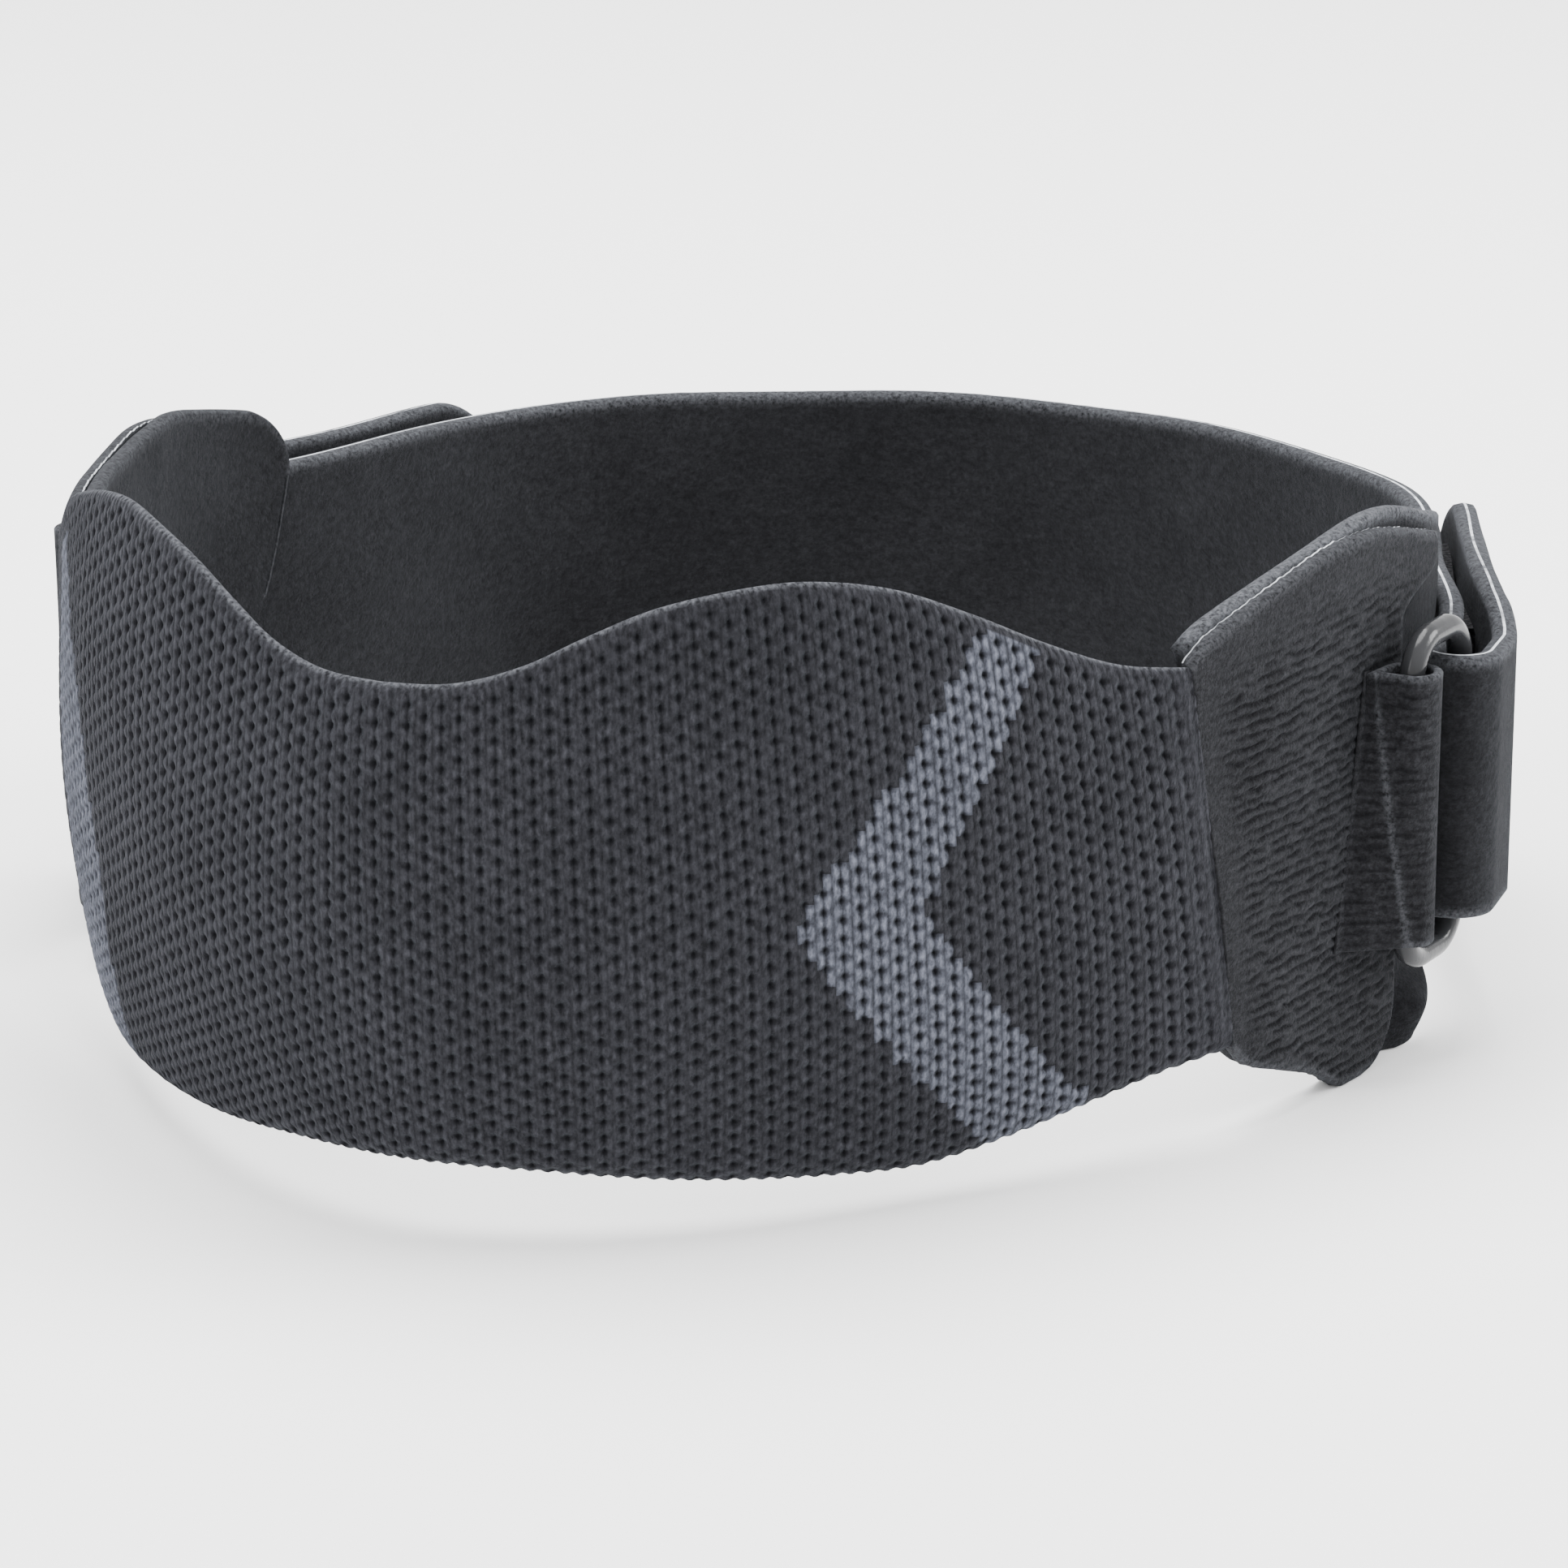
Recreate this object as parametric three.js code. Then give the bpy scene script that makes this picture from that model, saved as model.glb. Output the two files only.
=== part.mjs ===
// A strap worn round the leg just below the knee cap.
// Millimetres, +Z up. The knitted pad faces -Y, the leg passes through along Z.
// Places along the loop are arc lengths from the middle of the pad, plus towards +X on the right side.
import * as THREE from "three";

// Loop seen from above, two half ovals that meet at the widest place
const loop_half_width = 68.7;
const loop_front_depth = 92;
const loop_back_depth = 71.8;
const front_fullness = 1.77;
const back_fullness = 1.92;

// Knitted pad
const pad_half_length = 85;
const pad_height = 55.7;
const pad_lift = 3.1;
const pad_thickness = 8.5;
const seam_slant = 7;
const low_crown = 3.6;
const high_crown = 1.6;
const crown_level = 0.55;

// Ribbed wing and the soft flap under it
const wing_length = 27.5;
const wing_thickness = 1.6;
const wing_rear_slant = 1;
const flap_length = 50;
const flap_thickness = 2.4;
const flap_end_radius = 6;
const flap_tip_height = 3;
const flap_flare = 3.4;
const flap_proud = 1.1;
const flare_margin = 1.5;
const wing_depth = 53;
const right_crest = 7.4;
const left_crest = 4.2;

// Plastic ring, with the cloth tab that holds its front bar
const ring_wire = 3;
const ring_slot_height = 28.2;
const ring_span = 10.6;
const ring_corner = 3.8;
const ring_centre_height = 27.1;
const ring_sides = 8;
const tab_thickness = 0.9;
const tab_slot_clearance = 1.8;
const bar_setback = 5.3;
const tab_tongue = 0.8;

// Strap that runs round the back and is folded back through both rings
const strap_height = 31;
const strap_lift = 9.6;
const strap_thickness = 2.4;
const strap_slot_clearance = 2.4;
const shoulder_start = 5;
const shoulder_length = 9;
const tail_settling = 16;
const tail_length = 56;
const tail_rise = 0.9;
const tail_end_radius = 9;
const taut_length = 62;
const taut_dip = 4.2;
const patch_thickness = 1.2;
const patch_height = 24;
const patch_front_margin = 16;
const patch_rear_margin = 7;

// Space left between pieces that lie on each other
const layer_gap = 0.3;
const wrap_gap = 0.5;
const seam_gap = 0.5;

// Spacing of the stations of the lofted pieces
const pad_stations = 57;
const wing_stations = 11;
const flap_stations = 29;
const back_step = 5;
const side_step = 3;
const fold_steps = 11;
const tab_steps = 15;

// Pad outline from the middle to a seam: along is a share of the pad's half length,
// right and left are that half's top edge and bottom its low edge, as shares of the height.
const PAD_OUTLINE = [
  { along: 0, right: 0.852, left: 0.852, bottom: 0.057 },
  { along: 0.09, right: 0.858, left: 0.858, bottom: 0.054 },
  { along: 0.17, right: 0.888, left: 0.888, bottom: 0.048 },
  { along: 0.24, right: 0.932, left: 0.932, bottom: 0.038 },
  { along: 0.32, right: 0.974, left: 0.974, bottom: 0.026 },
  { along: 0.42, right: 0.998, left: 0.998, bottom: 0.014 },
  { along: 0.5, right: 1, left: 1, bottom: 0.006 },
  { along: 0.6, right: 0.974, left: 0.978, bottom: 0 },
  { along: 0.7, right: 0.918, left: 0.942, bottom: 0.018 },
  { along: 0.8, right: 0.852, left: 0.9, bottom: 0.045 },
  { along: 0.9, right: 0.797, left: 0.84, bottom: 0.072 },
  { along: 1, right: 0.77, left: 0.77, bottom: 0.09 },
];

// Pad section going round: level is a share of the height from the bottom edge,
// depth a share of the local thickness from the outer face.
const PAD_SECTION = [
  { level: 0, depth: 0.4 },
  { level: 0.012, depth: 0.14 },
  { level: 0.05, depth: 0.02 },
  { level: 0.13, depth: 0 },
  { level: 0.25, depth: 0 },
  { level: 0.4, depth: 0 },
  { level: 0.6, depth: 0 },
  { level: 0.8, depth: 0 },
  { level: 0.93, depth: 0.02 },
  { level: 0.985, depth: 0.12 },
  { level: 1, depth: 0.3 },
  { level: 0.985, depth: 0.52 },
  { level: 0.92, depth: 0.72 },
  { level: 0.78, depth: 0.92 },
  { level: 0.5, depth: 1 },
  { level: 0.2, depth: 0.96 },
  { level: 0.06, depth: 0.86 },
  { level: 0.015, depth: 0.68 },
];

// Wing and flap outline: along is a share of the flap's length from the seam, right and left
// are shares of that side's crest over the seam, bottom a share of the wing's depth.
const WING_OUTLINE = [
  { along: 0, right: 0.03, left: 0.03, bottom: 0.16 },
  { along: 0.04, right: 0.27, left: 0.25, bottom: 0.12 },
  { along: 0.14, right: 0.56, left: 0.66, bottom: 0.085 },
  { along: 0.26, right: 0.82, left: 0.95, bottom: 0.045 },
  { along: 0.35, right: 0.97, left: 1, bottom: 0 },
  { along: 0.46, right: 1, left: 0.99, bottom: 0 },
  { along: 0.57, right: 0.86, left: 0.94, bottom: 0 },
  { along: 0.66, right: 0.68, left: 0.8, bottom: 0.036 },
  { along: 0.745, right: 0.52, left: 0.62, bottom: 0.1 },
  { along: 0.82, right: 0.4, left: 0.45, bottom: 0.18 },
  { along: 0.9, right: 0.26, left: 0.25, bottom: 0.3 },
  { along: 0.96, right: 0.1, left: 0.08, bottom: 0.42 },
  { along: 1, right: -0.05, left: -0.05, bottom: 0.52 },
];

// Levels of a plain wall: level is a share of the height, flare a share of the low edge's flare
const PLAIN_LEVELS = [
  { level: 0, flare: 0 },
  { level: 1, flare: 0 },
];

const SIDES = [
  { name: "right", sign: 1, crest: right_crest },
  { name: "left", sign: -1, crest: left_crest },
];

// Places that follow from the sizes
const wire_radius = ring_wire / 2;
const seam_top = pad_lift + pad_height * PAD_OUTLINE.at(-1).right;
const side_thickness = wing_thickness + layer_gap + flap_thickness;
const wing_rear = pad_half_length + wing_length;
const front_bar_at = wing_rear - bar_setback;
const rear_bar_at = front_bar_at + ring_span;
const bar_offset = layer_gap + tab_thickness + wrap_gap + wire_radius;
const fold_radius = wire_radius + wrap_gap + strap_thickness / 2;
const tail_end = rear_bar_at + tail_length;
const stack =
  strap_thickness + layer_gap + patch_thickness + layer_gap;
const slot_low = ring_centre_height - ring_slot_height / 2;

const clamp01 = (v) => Math.min(1, Math.max(0, v));
const mix = (a, b, t) => a + (b - a) * t;
function ease(t) {
  const c = clamp01(t);
  return c * c * (3 - 2 * c);
}

// Value of one column of a table, read smoothly between its rows
function column(table, key, along) {
  const last = table.length - 1;
  const clamped = Math.min(Math.max(along, table[0].along), table[last].along);
  let i = 0;
  while (i < last - 1 && clamped > table[i + 1].along) i += 1;
  const before = table[Math.max(i - 1, 0)];
  const a = table[i];
  const b = table[i + 1];
  const after = table[Math.min(i + 2, last)];
  const width = b.along - a.along;
  const slope_a = ((b[key] - before[key]) / (b.along - before.along)) * width;
  const slope_b = ((after[key] - a[key]) / (after.along - a.along)) * width;
  const t = (clamped - a.along) / width;
  const t2 = t * t;
  const t3 = t2 * t;
  return (
    (2 * t3 - 3 * t2 + 1) * a[key] +
    (t3 - 2 * t2 + t) * slope_a +
    (3 * t2 - 2 * t3) * b[key] +
    (t3 - t2) * slope_b
  );
}

// Point of the loop at an angle from the front, 0 at the pad's middle and PI at the back
function loopPoint(angle) {
  const sine = Math.sin(angle);
  const cosine = Math.cos(angle);
  const front = cosine > 0;
  const depth = front ? loop_front_depth : loop_back_depth;
  const power = front ? front_fullness : back_fullness;
  const across = Math.abs(sine / loop_half_width) ** power;
  const radius = (across + Math.abs(cosine / depth) ** power) ** (-1 / power);
  return new THREE.Vector2(radius * sine, -radius * cosine);
}

// Arc lengths of the right half of the loop
const arc_steps = 720;
const arc_points = [];
const arc_lengths = [];
for (let i = 0; i <= arc_steps; i += 1) {
  const point = loopPoint((Math.PI * i) / arc_steps);
  const before = i ? arc_lengths[i - 1] : 0;
  arc_points.push(point);
  arc_lengths.push(i ? before + point.distanceTo(arc_points[i - 1]) : 0);
}
const half_girth = arc_lengths[arc_steps];

function arcPoint(at) {
  const s = Math.abs(at);
  const mirrored = s > half_girth ? 2 * half_girth - s : s;
  let low = 0;
  let high = arc_steps;
  while (high - low > 1) {
    const middle = (low + high) >> 1;
    if (arc_lengths[middle] <= mirrored) low = middle;
    else high = middle;
  }
  const share = (mirrored - arc_lengths[low]) / (arc_lengths[high] - arc_lengths[low]);
  const point = arc_points[low].clone().lerp(arc_points[high], share);
  if (at < 0 !== s > half_girth) point.x = -point.x;
  return point;
}

// Point at an arc length along the loop, moved outwards by an offset
function planPoint(at, offset) {
  const probe = 0.5;
  const along = arcPoint(at + probe).sub(arcPoint(at - probe)).normalize();
  return arcPoint(at).add(new THREE.Vector2(along.y, -along.x).multiplyScalar(offset));
}

// Closed solid through a row of rings of points, each ring going round the section.
// The row itself closes into a loop when looped is true.
function loft(rings, looped = false, flipped = false) {
  const size = rings[0].length;
  const positions = rings.flat().flatMap((p) => [p.x, p.y, p.z]);
  const faces = [];
  const face = (a, b, c) => faces.push(...(flipped ? [a, c, b] : [a, b, c]));
  const spans = looped ? rings.length : rings.length - 1;
  for (let i = 0; i < spans; i += 1) {
    const here = i * size;
    const next = ((i + 1) % rings.length) * size;
    for (let j = 0; j < size; j += 1) {
      const k = (j + 1) % size;
      face(here + j, next + j, next + k);
      face(here + j, next + k, here + k);
    }
  }
  if (!looped) {
    for (const [start, turned] of [
      [0, false],
      [(rings.length - 1) * size, true],
    ]) {
      const centre = new THREE.Vector3();
      const ring = rings[start / size];
      ring.forEach((p) => centre.addScaledVector(p, 1 / size));
      const hub = positions.length / 3;
      positions.push(centre.x, centre.y, centre.z);
      for (let j = 0; j < size; j += 1) {
        const k = (j + 1) % size;
        if (turned) face(hub, start + k, start + j);
        else face(hub, start + j, start + k);
      }
    }
  }
  const geometry = new THREE.BufferGeometry();
  geometry.setAttribute("position", new THREE.Float32BufferAttribute(positions, 3));
  geometry.setIndex(faces);
  geometry.computeVertexNormals();
  return geometry;
}

// Upright cloth wall along a path seen from above. The station function gives, for the
// place i of n, its low and high edge, how far the high edge leans ahead, and its flare.
// The path is laid out on the right side, and a sign of -1 mirrors the solid to the left.
function wall(path, thickness, station, sign = 1) {
  const half = thickness / 2;
  const edge_share = 0.7;
  const rings = path.map((point, i) => {
    const before = path[Math.max(i - 1, 0)];
    const after = path[Math.min(i + 1, path.length - 1)];
    const ahead = after.clone().sub(before).normalize();
    const out = new THREE.Vector2(ahead.y, -ahead.x);
    const row = station(i, path.length - 1);
    const levels = row.levels ?? PLAIN_LEVELS;
    const at = (level, flare, side, height) => {
      const shift = mix(row.lean_low ?? 0, row.lean_high ?? 0, level);
      const offset = side * half + flare * (row.flare ?? 0);
      const place = point.clone().addScaledVector(ahead, shift).addScaledVector(out, offset);
      return new THREE.Vector3(sign * place.x, place.y, height);
    };
    const height = row.high - row.low;
    const rounding = Math.min(half, height / 4);
    const levels_up = levels.map(({ level, flare }) => {
      const inset = level === 0 ? rounding : level === 1 ? -rounding : 0;
      return { level, flare, height: row.low + height * level + inset };
    });
    const first = levels[0];
    const last = levels.at(-1);
    const outer = levels_up.map((l) => at(l.level, l.flare, 1, l.height));
    const inner = levels_up.map((l) => at(l.level, l.flare, -1, l.height)).reverse();
    return [
      ...outer,
      at(1, last.flare, edge_share, row.high),
      at(1, last.flare, -edge_share, row.high),
      ...inner,
      at(0, first.flare, -edge_share, row.low),
      at(0, first.flare, edge_share, row.low),
    ];
  });
  return loft(rings, false, sign < 0);
}

function range(start, end, count) {
  return Array.from({ length: count }, (_, i) => mix(start, end, i / (count - 1)));
}

function stepsBetween(start, end, step) {
  return range(start, end, Math.max(2, Math.round(Math.abs(end - start) / step) + 1));
}

// Knitted pad, thick in the middle and as thin as the wing and flap at its seams
function padGeometry() {
  const rings = range(-1, 1, pad_stations).map((along) => {
    const share = Math.abs(along);
    const low = pad_lift + pad_height * column(PAD_OUTLINE, "bottom", share);
    const high = pad_lift + pad_height * column(PAD_OUTLINE, along < 0 ? "left" : "right", share);
    const fullness = 1 - share ** 5;
    const thickness = mix(side_thickness, pad_thickness, fullness);
    return PAD_SECTION.map(({ level, depth }) => {
      const below = clamp01((crown_level - level) / crown_level);
      const above = clamp01((level - crown_level) / (1 - crown_level));
      const lean = (low_crown * below ** 2 + high_crown * above ** 2) * fullness;
      const face_offset = -lean * (1 - depth);
      const place = along * (pad_half_length - seam_slant * level);
      const point = planPoint(place, face_offset - thickness * depth);
      return new THREE.Vector3(point.x, point.y, mix(low, high, level));
    });
  });
  return loft(rings);
}

function wingTop(side, share) {
  return seam_top + side.crest * column(WING_OUTLINE, side.name, share);
}

function wingBottom(share) {
  return Math.max(0, wing_depth * column(WING_OUTLINE, "bottom", share));
}

// Ribbed outer layer from the seam to its raised rear edge
function wingGeometry(side) {
  const start = pad_half_length + seam_gap;
  const places = range(start, wing_rear, wing_stations);
  const path = places.map((s) => planPoint(s, -wing_thickness / 2));
  const station = (i, last) => {
    const share = i / last;
    const along = (places[i] - pad_half_length) / flap_length;
    return {
      low: wingBottom(along),
      high: wingTop(side, along),
      lean_high: -mix(seam_slant, wing_rear_slant, share),
    };
  };
  return wall(path, wing_thickness, station, side.sign);
}

// Distance of the strap's inner run from the loop: under the rear bar it clears the bar,
// then it runs nearly straight before it follows the loop round the back
function passOffset(s) {
  const under_bar = bar_offset - fold_radius;
  const share = clamp01((s - rear_bar_at) / taut_length);
  return mix(under_bar, 0, ease(share)) - taut_dip * Math.sin(Math.PI * share) ** 2;
}

function tailOffset(s) {
  const settle = ease((s - rear_bar_at) / tail_settling);
  return passOffset(s) + mix(2 * fold_radius, stack, settle);
}

function flapOffset(s) {
  const under_wing = -wing_thickness - layer_gap - flap_thickness / 2;
  const under_strap = passOffset(s) - strap_thickness / 2 - layer_gap - flap_thickness / 2;
  return mix(under_wing, under_strap, ease((s - wing_rear) / (rear_bar_at - wing_rear)));
}

// Soft flap that lies against the leg, from the seam to its round end behind the ring
function flapGeometry(side) {
  const start = pad_half_length + seam_gap;
  const end = pad_half_length + flap_length;
  const places = range(0, 1, flap_stations).map((t) => mix(start, end, Math.sin((t * Math.PI) / 2) ** 0.9));
  const path = places.map((s) => planPoint(s, flapOffset(s)));
  const station = (i) => {
    const s = places[i];
    const along = (s - pad_half_length) / flap_length;
    const into_end = clamp01((s - end + flap_end_radius) / flap_end_radius);
    const drop = flap_end_radius * (1 - Math.sqrt(1 - into_end ** 2));
    const low = wingBottom(along);
    const high = Math.max(wingTop(side, along) + flap_proud - drop, low + flap_tip_height);
    const free = clamp01(1 - low / (strap_lift - flare_margin));
    const flat_height = Math.max(strap_lift - flare_margin - low, flap_thickness);
    return {
      low,
      high,
      lean_high: -seam_slant * clamp01(1 - along * 3),
      flare: flap_flare * free * ease((s - wing_rear) / (rear_bar_at - wing_rear)),
      levels: [
        { level: 0, flare: 1 },
        { level: flat_height / (high - low), flare: 0 },
        { level: 1, flare: 0 },
      ],
    };
  };
  return wall(path, flap_thickness, station, side.sign);
}

// Frame of a ring on the right side: its front bar, its direction and its outward normal
const front_bar = planPoint(front_bar_at, bar_offset);
const ring_ahead = planPoint(rear_bar_at, bar_offset).sub(front_bar).normalize();
const ring_out = new THREE.Vector2(ring_ahead.y, -ring_ahead.x);
const rear_bar = front_bar.clone().addScaledVector(ring_ahead, ring_span);

function fromBar(bar, ahead, out) {
  return bar.clone().addScaledVector(ring_ahead, ahead).addScaledVector(ring_out, out);
}

// Half circle round a bar, from its inner side by its front or its rear to its outer side
function bend(bar, radius, towards, from, to, count) {
  return range(from, to, count).map((angle) =>
    fromBar(bar, towards * radius * Math.cos(angle), radius * Math.sin(angle)),
  );
}

function ringGeometry(side) {
  const half_height = (ring_slot_height + ring_wire) / 2;
  const half_span = ring_span / 2;
  const centre = [];
  const corners = [
    { ahead: 1, up: 1, turn: 0 },
    { ahead: -1, up: 1, turn: 1 },
    { ahead: -1, up: -1, turn: 2 },
    { ahead: 1, up: -1, turn: 3 },
  ];
  const corner_steps = 5;
  for (const { ahead, up, turn } of corners) {
    for (let i = 0; i <= corner_steps; i += 1) {
      const angle = (Math.PI / 2) * (turn + i / corner_steps);
      const out = new THREE.Vector2(Math.cos(angle), Math.sin(angle));
      const along = half_span + ahead * (half_span - ring_corner) + ring_corner * out.x;
      const height = ring_centre_height + up * (half_height - ring_corner) + ring_corner * out.y;
      centre.push({ along, height, out });
    }
  }
  const rings = centre.map(({ along, height, out }) =>
    Array.from({ length: ring_sides }, (_, j) => {
      const angle = (2 * Math.PI * j) / ring_sides;
      const in_plane = wire_radius * Math.cos(angle);
      const place = fromBar(front_bar, along + out.x * in_plane, wire_radius * Math.sin(angle));
      return new THREE.Vector3(side.sign * place.x, place.y, height + out.y * in_plane);
    }),
  );
  return loft(rings, true, side.sign < 0);
}

// Cloth tab: a strip sewn on the wing that wraps the ring's front bar and returns on itself
function tabGeometry(side) {
  const radius = wire_radius + wrap_gap + tab_thickness / 2;
  const low_layer = -radius;
  const high_layer = low_layer + tab_thickness + layer_gap;
  const tip = -radius - tab_tongue;
  const path = [
    fromBar(front_bar, tip, low_layer),
    fromBar(front_bar, tip / 2, low_layer),
    ...bend(front_bar, radius, 1, -Math.PI / 2, Math.PI, tab_steps),
    fromBar(front_bar, tip, high_layer),
  ];
  const half_height = (ring_slot_height - tab_slot_clearance) / 2;
  const low = ring_centre_height - half_height;
  const high = ring_centre_height + half_height;
  const station = () => ({ low, high });
  return wall(path, tab_thickness, station, side.sign);
}

// Strap: one band from the left tail round the left ring, the back and the right ring
function strapGeometry() {
  const back = stepsBetween(half_girth, rear_bar_at + taut_length, back_step);
  const side_run = stepsBetween(rear_bar_at + taut_length, rear_bar_at + shoulder_start, side_step);
  const inner = [...back, ...side_run.slice(1)].map((s) => ({
    point: planPoint(s, passOffset(s)),
    s,
    tail: false,
  }));
  const fold = bend(rear_bar, fold_radius, -1, -Math.PI / 2, Math.PI / 2, fold_steps).map(
    (point) => ({ point, s: rear_bar_at, tail: false }),
  );
  const tail_run = stepsBetween(rear_bar_at + shoulder_start, tail_end, side_step);
  const corner = range(0.25, 1, 4).map((t) => tail_end - tail_end_radius * (1 - Math.sin((t * Math.PI) / 2)));
  const tail_places = [...tail_run.filter((s) => s < corner[0] - 1), ...corner];
  const tail = tail_places.map((s) => ({ point: planPoint(s, tailOffset(s)), s, tail: true }));
  const right = [...inner, ...fold, ...tail];
  const left = right.slice(1).reverse();
  const rows = [
    ...left.map(({ point, ...row }) => ({ ...row, point: new THREE.Vector2(-point.x, point.y) })),
    ...right,
  ];
  const station = (i) => {
    const { s, tail: is_tail } = rows[i];
    const narrow = 1 - ease((s - rear_bar_at - shoulder_start) / shoulder_length);
    const low = mix(strap_lift, slot_low + strap_slot_clearance / 2, narrow);
    const high_in_slot = slot_low + ring_slot_height - strap_slot_clearance / 2;
    const high = mix(strap_lift + strap_height, high_in_slot, narrow);
    const into_end = is_tail ? clamp01((s - tail_end + tail_end_radius) / tail_end_radius) : 0;
    const drop = tail_end_radius * (1 - Math.sqrt(1 - into_end ** 2));
    const rise = is_tail ? tail_rise * (1 - narrow) : 0;
    return { low: low + drop + rise, high: high - drop + rise };
  };
  return wall(rows.map((row) => row.point), strap_thickness, station);
}

// Hook patch that fastens a tail to the strap's inner run
function patchGeometry(side) {
  const start = rear_bar_at + patch_front_margin;
  const end = tail_end - patch_rear_margin;
  const middle = (strap_thickness + patch_thickness) / 2 + layer_gap;
  const path = stepsBetween(start, end, side_step).map((s) => planPoint(s, passOffset(s) + middle));
  const centre = strap_lift + strap_height / 2;
  const station = () => ({ low: centre - patch_height / 2, high: centre + patch_height / 2 });
  return wall(path, patch_thickness, station, side.sign);
}

const finishes = {
  knit: { color: 0x35363c, roughness: 0.92, metalness: 0 },
  ribbed: { color: 0x3b3e42, roughness: 0.9, metalness: 0 },
  brushed: { color: 0x303236, roughness: 0.95, metalness: 0 },
  plastic: { color: 0x6c6e70, roughness: 0.5, metalness: 0 },
  hook: { color: 0x202124, roughness: 0.85, metalness: 0 },
};

const strap = new THREE.Group();

function addPiece(name, finish, geometry) {
  const piece = new THREE.Mesh(geometry, new THREE.MeshStandardMaterial(finishes[finish]));
  piece.name = name;
  strap.add(piece);
}

addPiece("knit_pad", "knit", padGeometry());
for (const side of SIDES) {
  addPiece(`wing_${side.name}`, "ribbed", wingGeometry(side));
  addPiece(`flap_${side.name}`, "brushed", flapGeometry(side));
  addPiece(`ring_tab_${side.name}`, "ribbed", tabGeometry(side));
  addPiece(`ring_${side.name}`, "plastic", ringGeometry(side));
  addPiece(`hook_patch_${side.name}`, "hook", patchGeometry(side));
}
addPiece("back_strap", "brushed", strapGeometry());

// The origin lies under the middle of the part, on the surface that it rests on
const bounds = new THREE.Box3().setFromObject(strap);
strap.position.set(0, -(bounds.min.y + bounds.max.y) / 2, -bounds.min.z);

export default strap;
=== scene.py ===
"""A knitted strap worn round the leg just below the knee cap.

The strap lies closed round its loop. A place on it is a distance along the loop from the middle of
the pad, plus towards +X, with a height above the surface that it rests on and an offset outwards.
"""

import math

import bpy
import numpy as np
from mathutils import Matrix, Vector, noise


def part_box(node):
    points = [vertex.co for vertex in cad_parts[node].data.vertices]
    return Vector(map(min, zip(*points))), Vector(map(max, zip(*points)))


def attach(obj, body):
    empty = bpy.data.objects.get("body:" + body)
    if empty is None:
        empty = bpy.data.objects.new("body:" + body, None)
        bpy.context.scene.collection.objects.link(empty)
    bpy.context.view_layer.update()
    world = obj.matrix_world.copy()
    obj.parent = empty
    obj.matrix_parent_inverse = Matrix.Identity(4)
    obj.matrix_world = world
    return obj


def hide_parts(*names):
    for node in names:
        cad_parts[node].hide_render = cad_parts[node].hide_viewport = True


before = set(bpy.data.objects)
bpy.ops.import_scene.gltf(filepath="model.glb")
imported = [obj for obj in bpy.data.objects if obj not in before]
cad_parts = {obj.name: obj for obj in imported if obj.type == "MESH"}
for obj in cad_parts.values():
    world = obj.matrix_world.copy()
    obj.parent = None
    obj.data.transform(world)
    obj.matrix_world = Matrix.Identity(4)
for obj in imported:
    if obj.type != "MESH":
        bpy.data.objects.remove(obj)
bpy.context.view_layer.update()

bl_info = {
    "name": "Patella strap",
    "version": (1, 0, 0),
    "blender": (4, 5, 0),
    "location": "3D View > Sidebar > Strap",
    "description": "Models a knitted knee strap with ribbed wings, rings and a fold-back strap",
    "category": "Object",
}

MM = 0.001
TURN = 2 * math.pi

# Pad outline from the middle to a seam: along is a share of the pad's half length,
# right and left are that half's top edge and bottom its low edge, as shares of the height
PAD_OUTLINE = {
    "along": (0, 0.09, 0.17, 0.24, 0.32, 0.42, 0.5, 0.6, 0.7, 0.8, 0.9, 1),
    "right": (0.852, 0.858, 0.888, 0.932, 0.974, 0.998, 1, 0.974, 0.918, 0.852, 0.797, 0.77),
    "left": (0.852, 0.858, 0.888, 0.934, 0.98, 1.01, 1.018, 1, 0.966, 0.924, 0.86, 0.775),
    "bottom": (0.057, 0.054, 0.048, 0.038, 0.026, 0.014, 0.006, 0, 0.018, 0.045, 0.072, 0.09),
}

# Pad section from the bottom edge up the outer face and down the inner face: level is a share
# of the height, depth a share of the thickness from the outer face
PAD_SECTION = (
    (0, 0.4), (0.004, 0.25), (0.02, 0.1), (0.05, 0.02), (0.13, 0), (0.3, 0), (0.5, 0), (0.7, 0),
    (0.87, 0), (0.955, 0.004), (0.984, 0.028), (0.998, 0.085), (0.998, 0.15), (0.985, 0.25),
    (0.955, 0.44), (0.91, 0.64), (0.83, 0.84), (0.72, 0.95), (0.6, 1), (0.4, 1), (0.25, 0.98),
    (0.12, 0.93), (0.04, 0.78), (0.006, 0.58),
)

# Wing and flap outline: along is a share of the flap's length from the seam, right and left are
# shares of that side's crest over the seam, bottom a share of the wing's depth
WING_OUTLINE = {
    "along": (0, 0.04, 0.14, 0.26, 0.35, 0.46, 0.57, 0.66, 0.745, 0.82, 0.9, 0.96, 1),
    "right": (0.03, 0.27, 0.56, 0.82, 0.97, 1, 0.86, 0.68, 0.52, 0.4, 0.26, 0.1, -0.05),
    "left": (0.03, 0.2, 0.45, 0.6, 0.63, 0.72, 0.85, 0.8, 0.62, 0.45, 0.25, 0.08, -0.05),
    "bottom": (0.16, 0.12, 0.085, 0.045, 0, 0, 0, 0.036, 0.1, 0.18, 0.3, 0.42, 0.52),
}

SIDES = {"right": 1, "left": -1}

# How much of the light fibres and painted rim highlight shows on each side's rims, more on the right
# where the light falls, and how proud the flap stands
RIM_FIBRES_AND_HIGHLIGHT = {"right": {"wing": 0.3, "flap": 0.85}, "left": {"wing": 0.25, "flap": 0.3}}
PROUD = {"right": 1.0, "left": 0.35}

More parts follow.
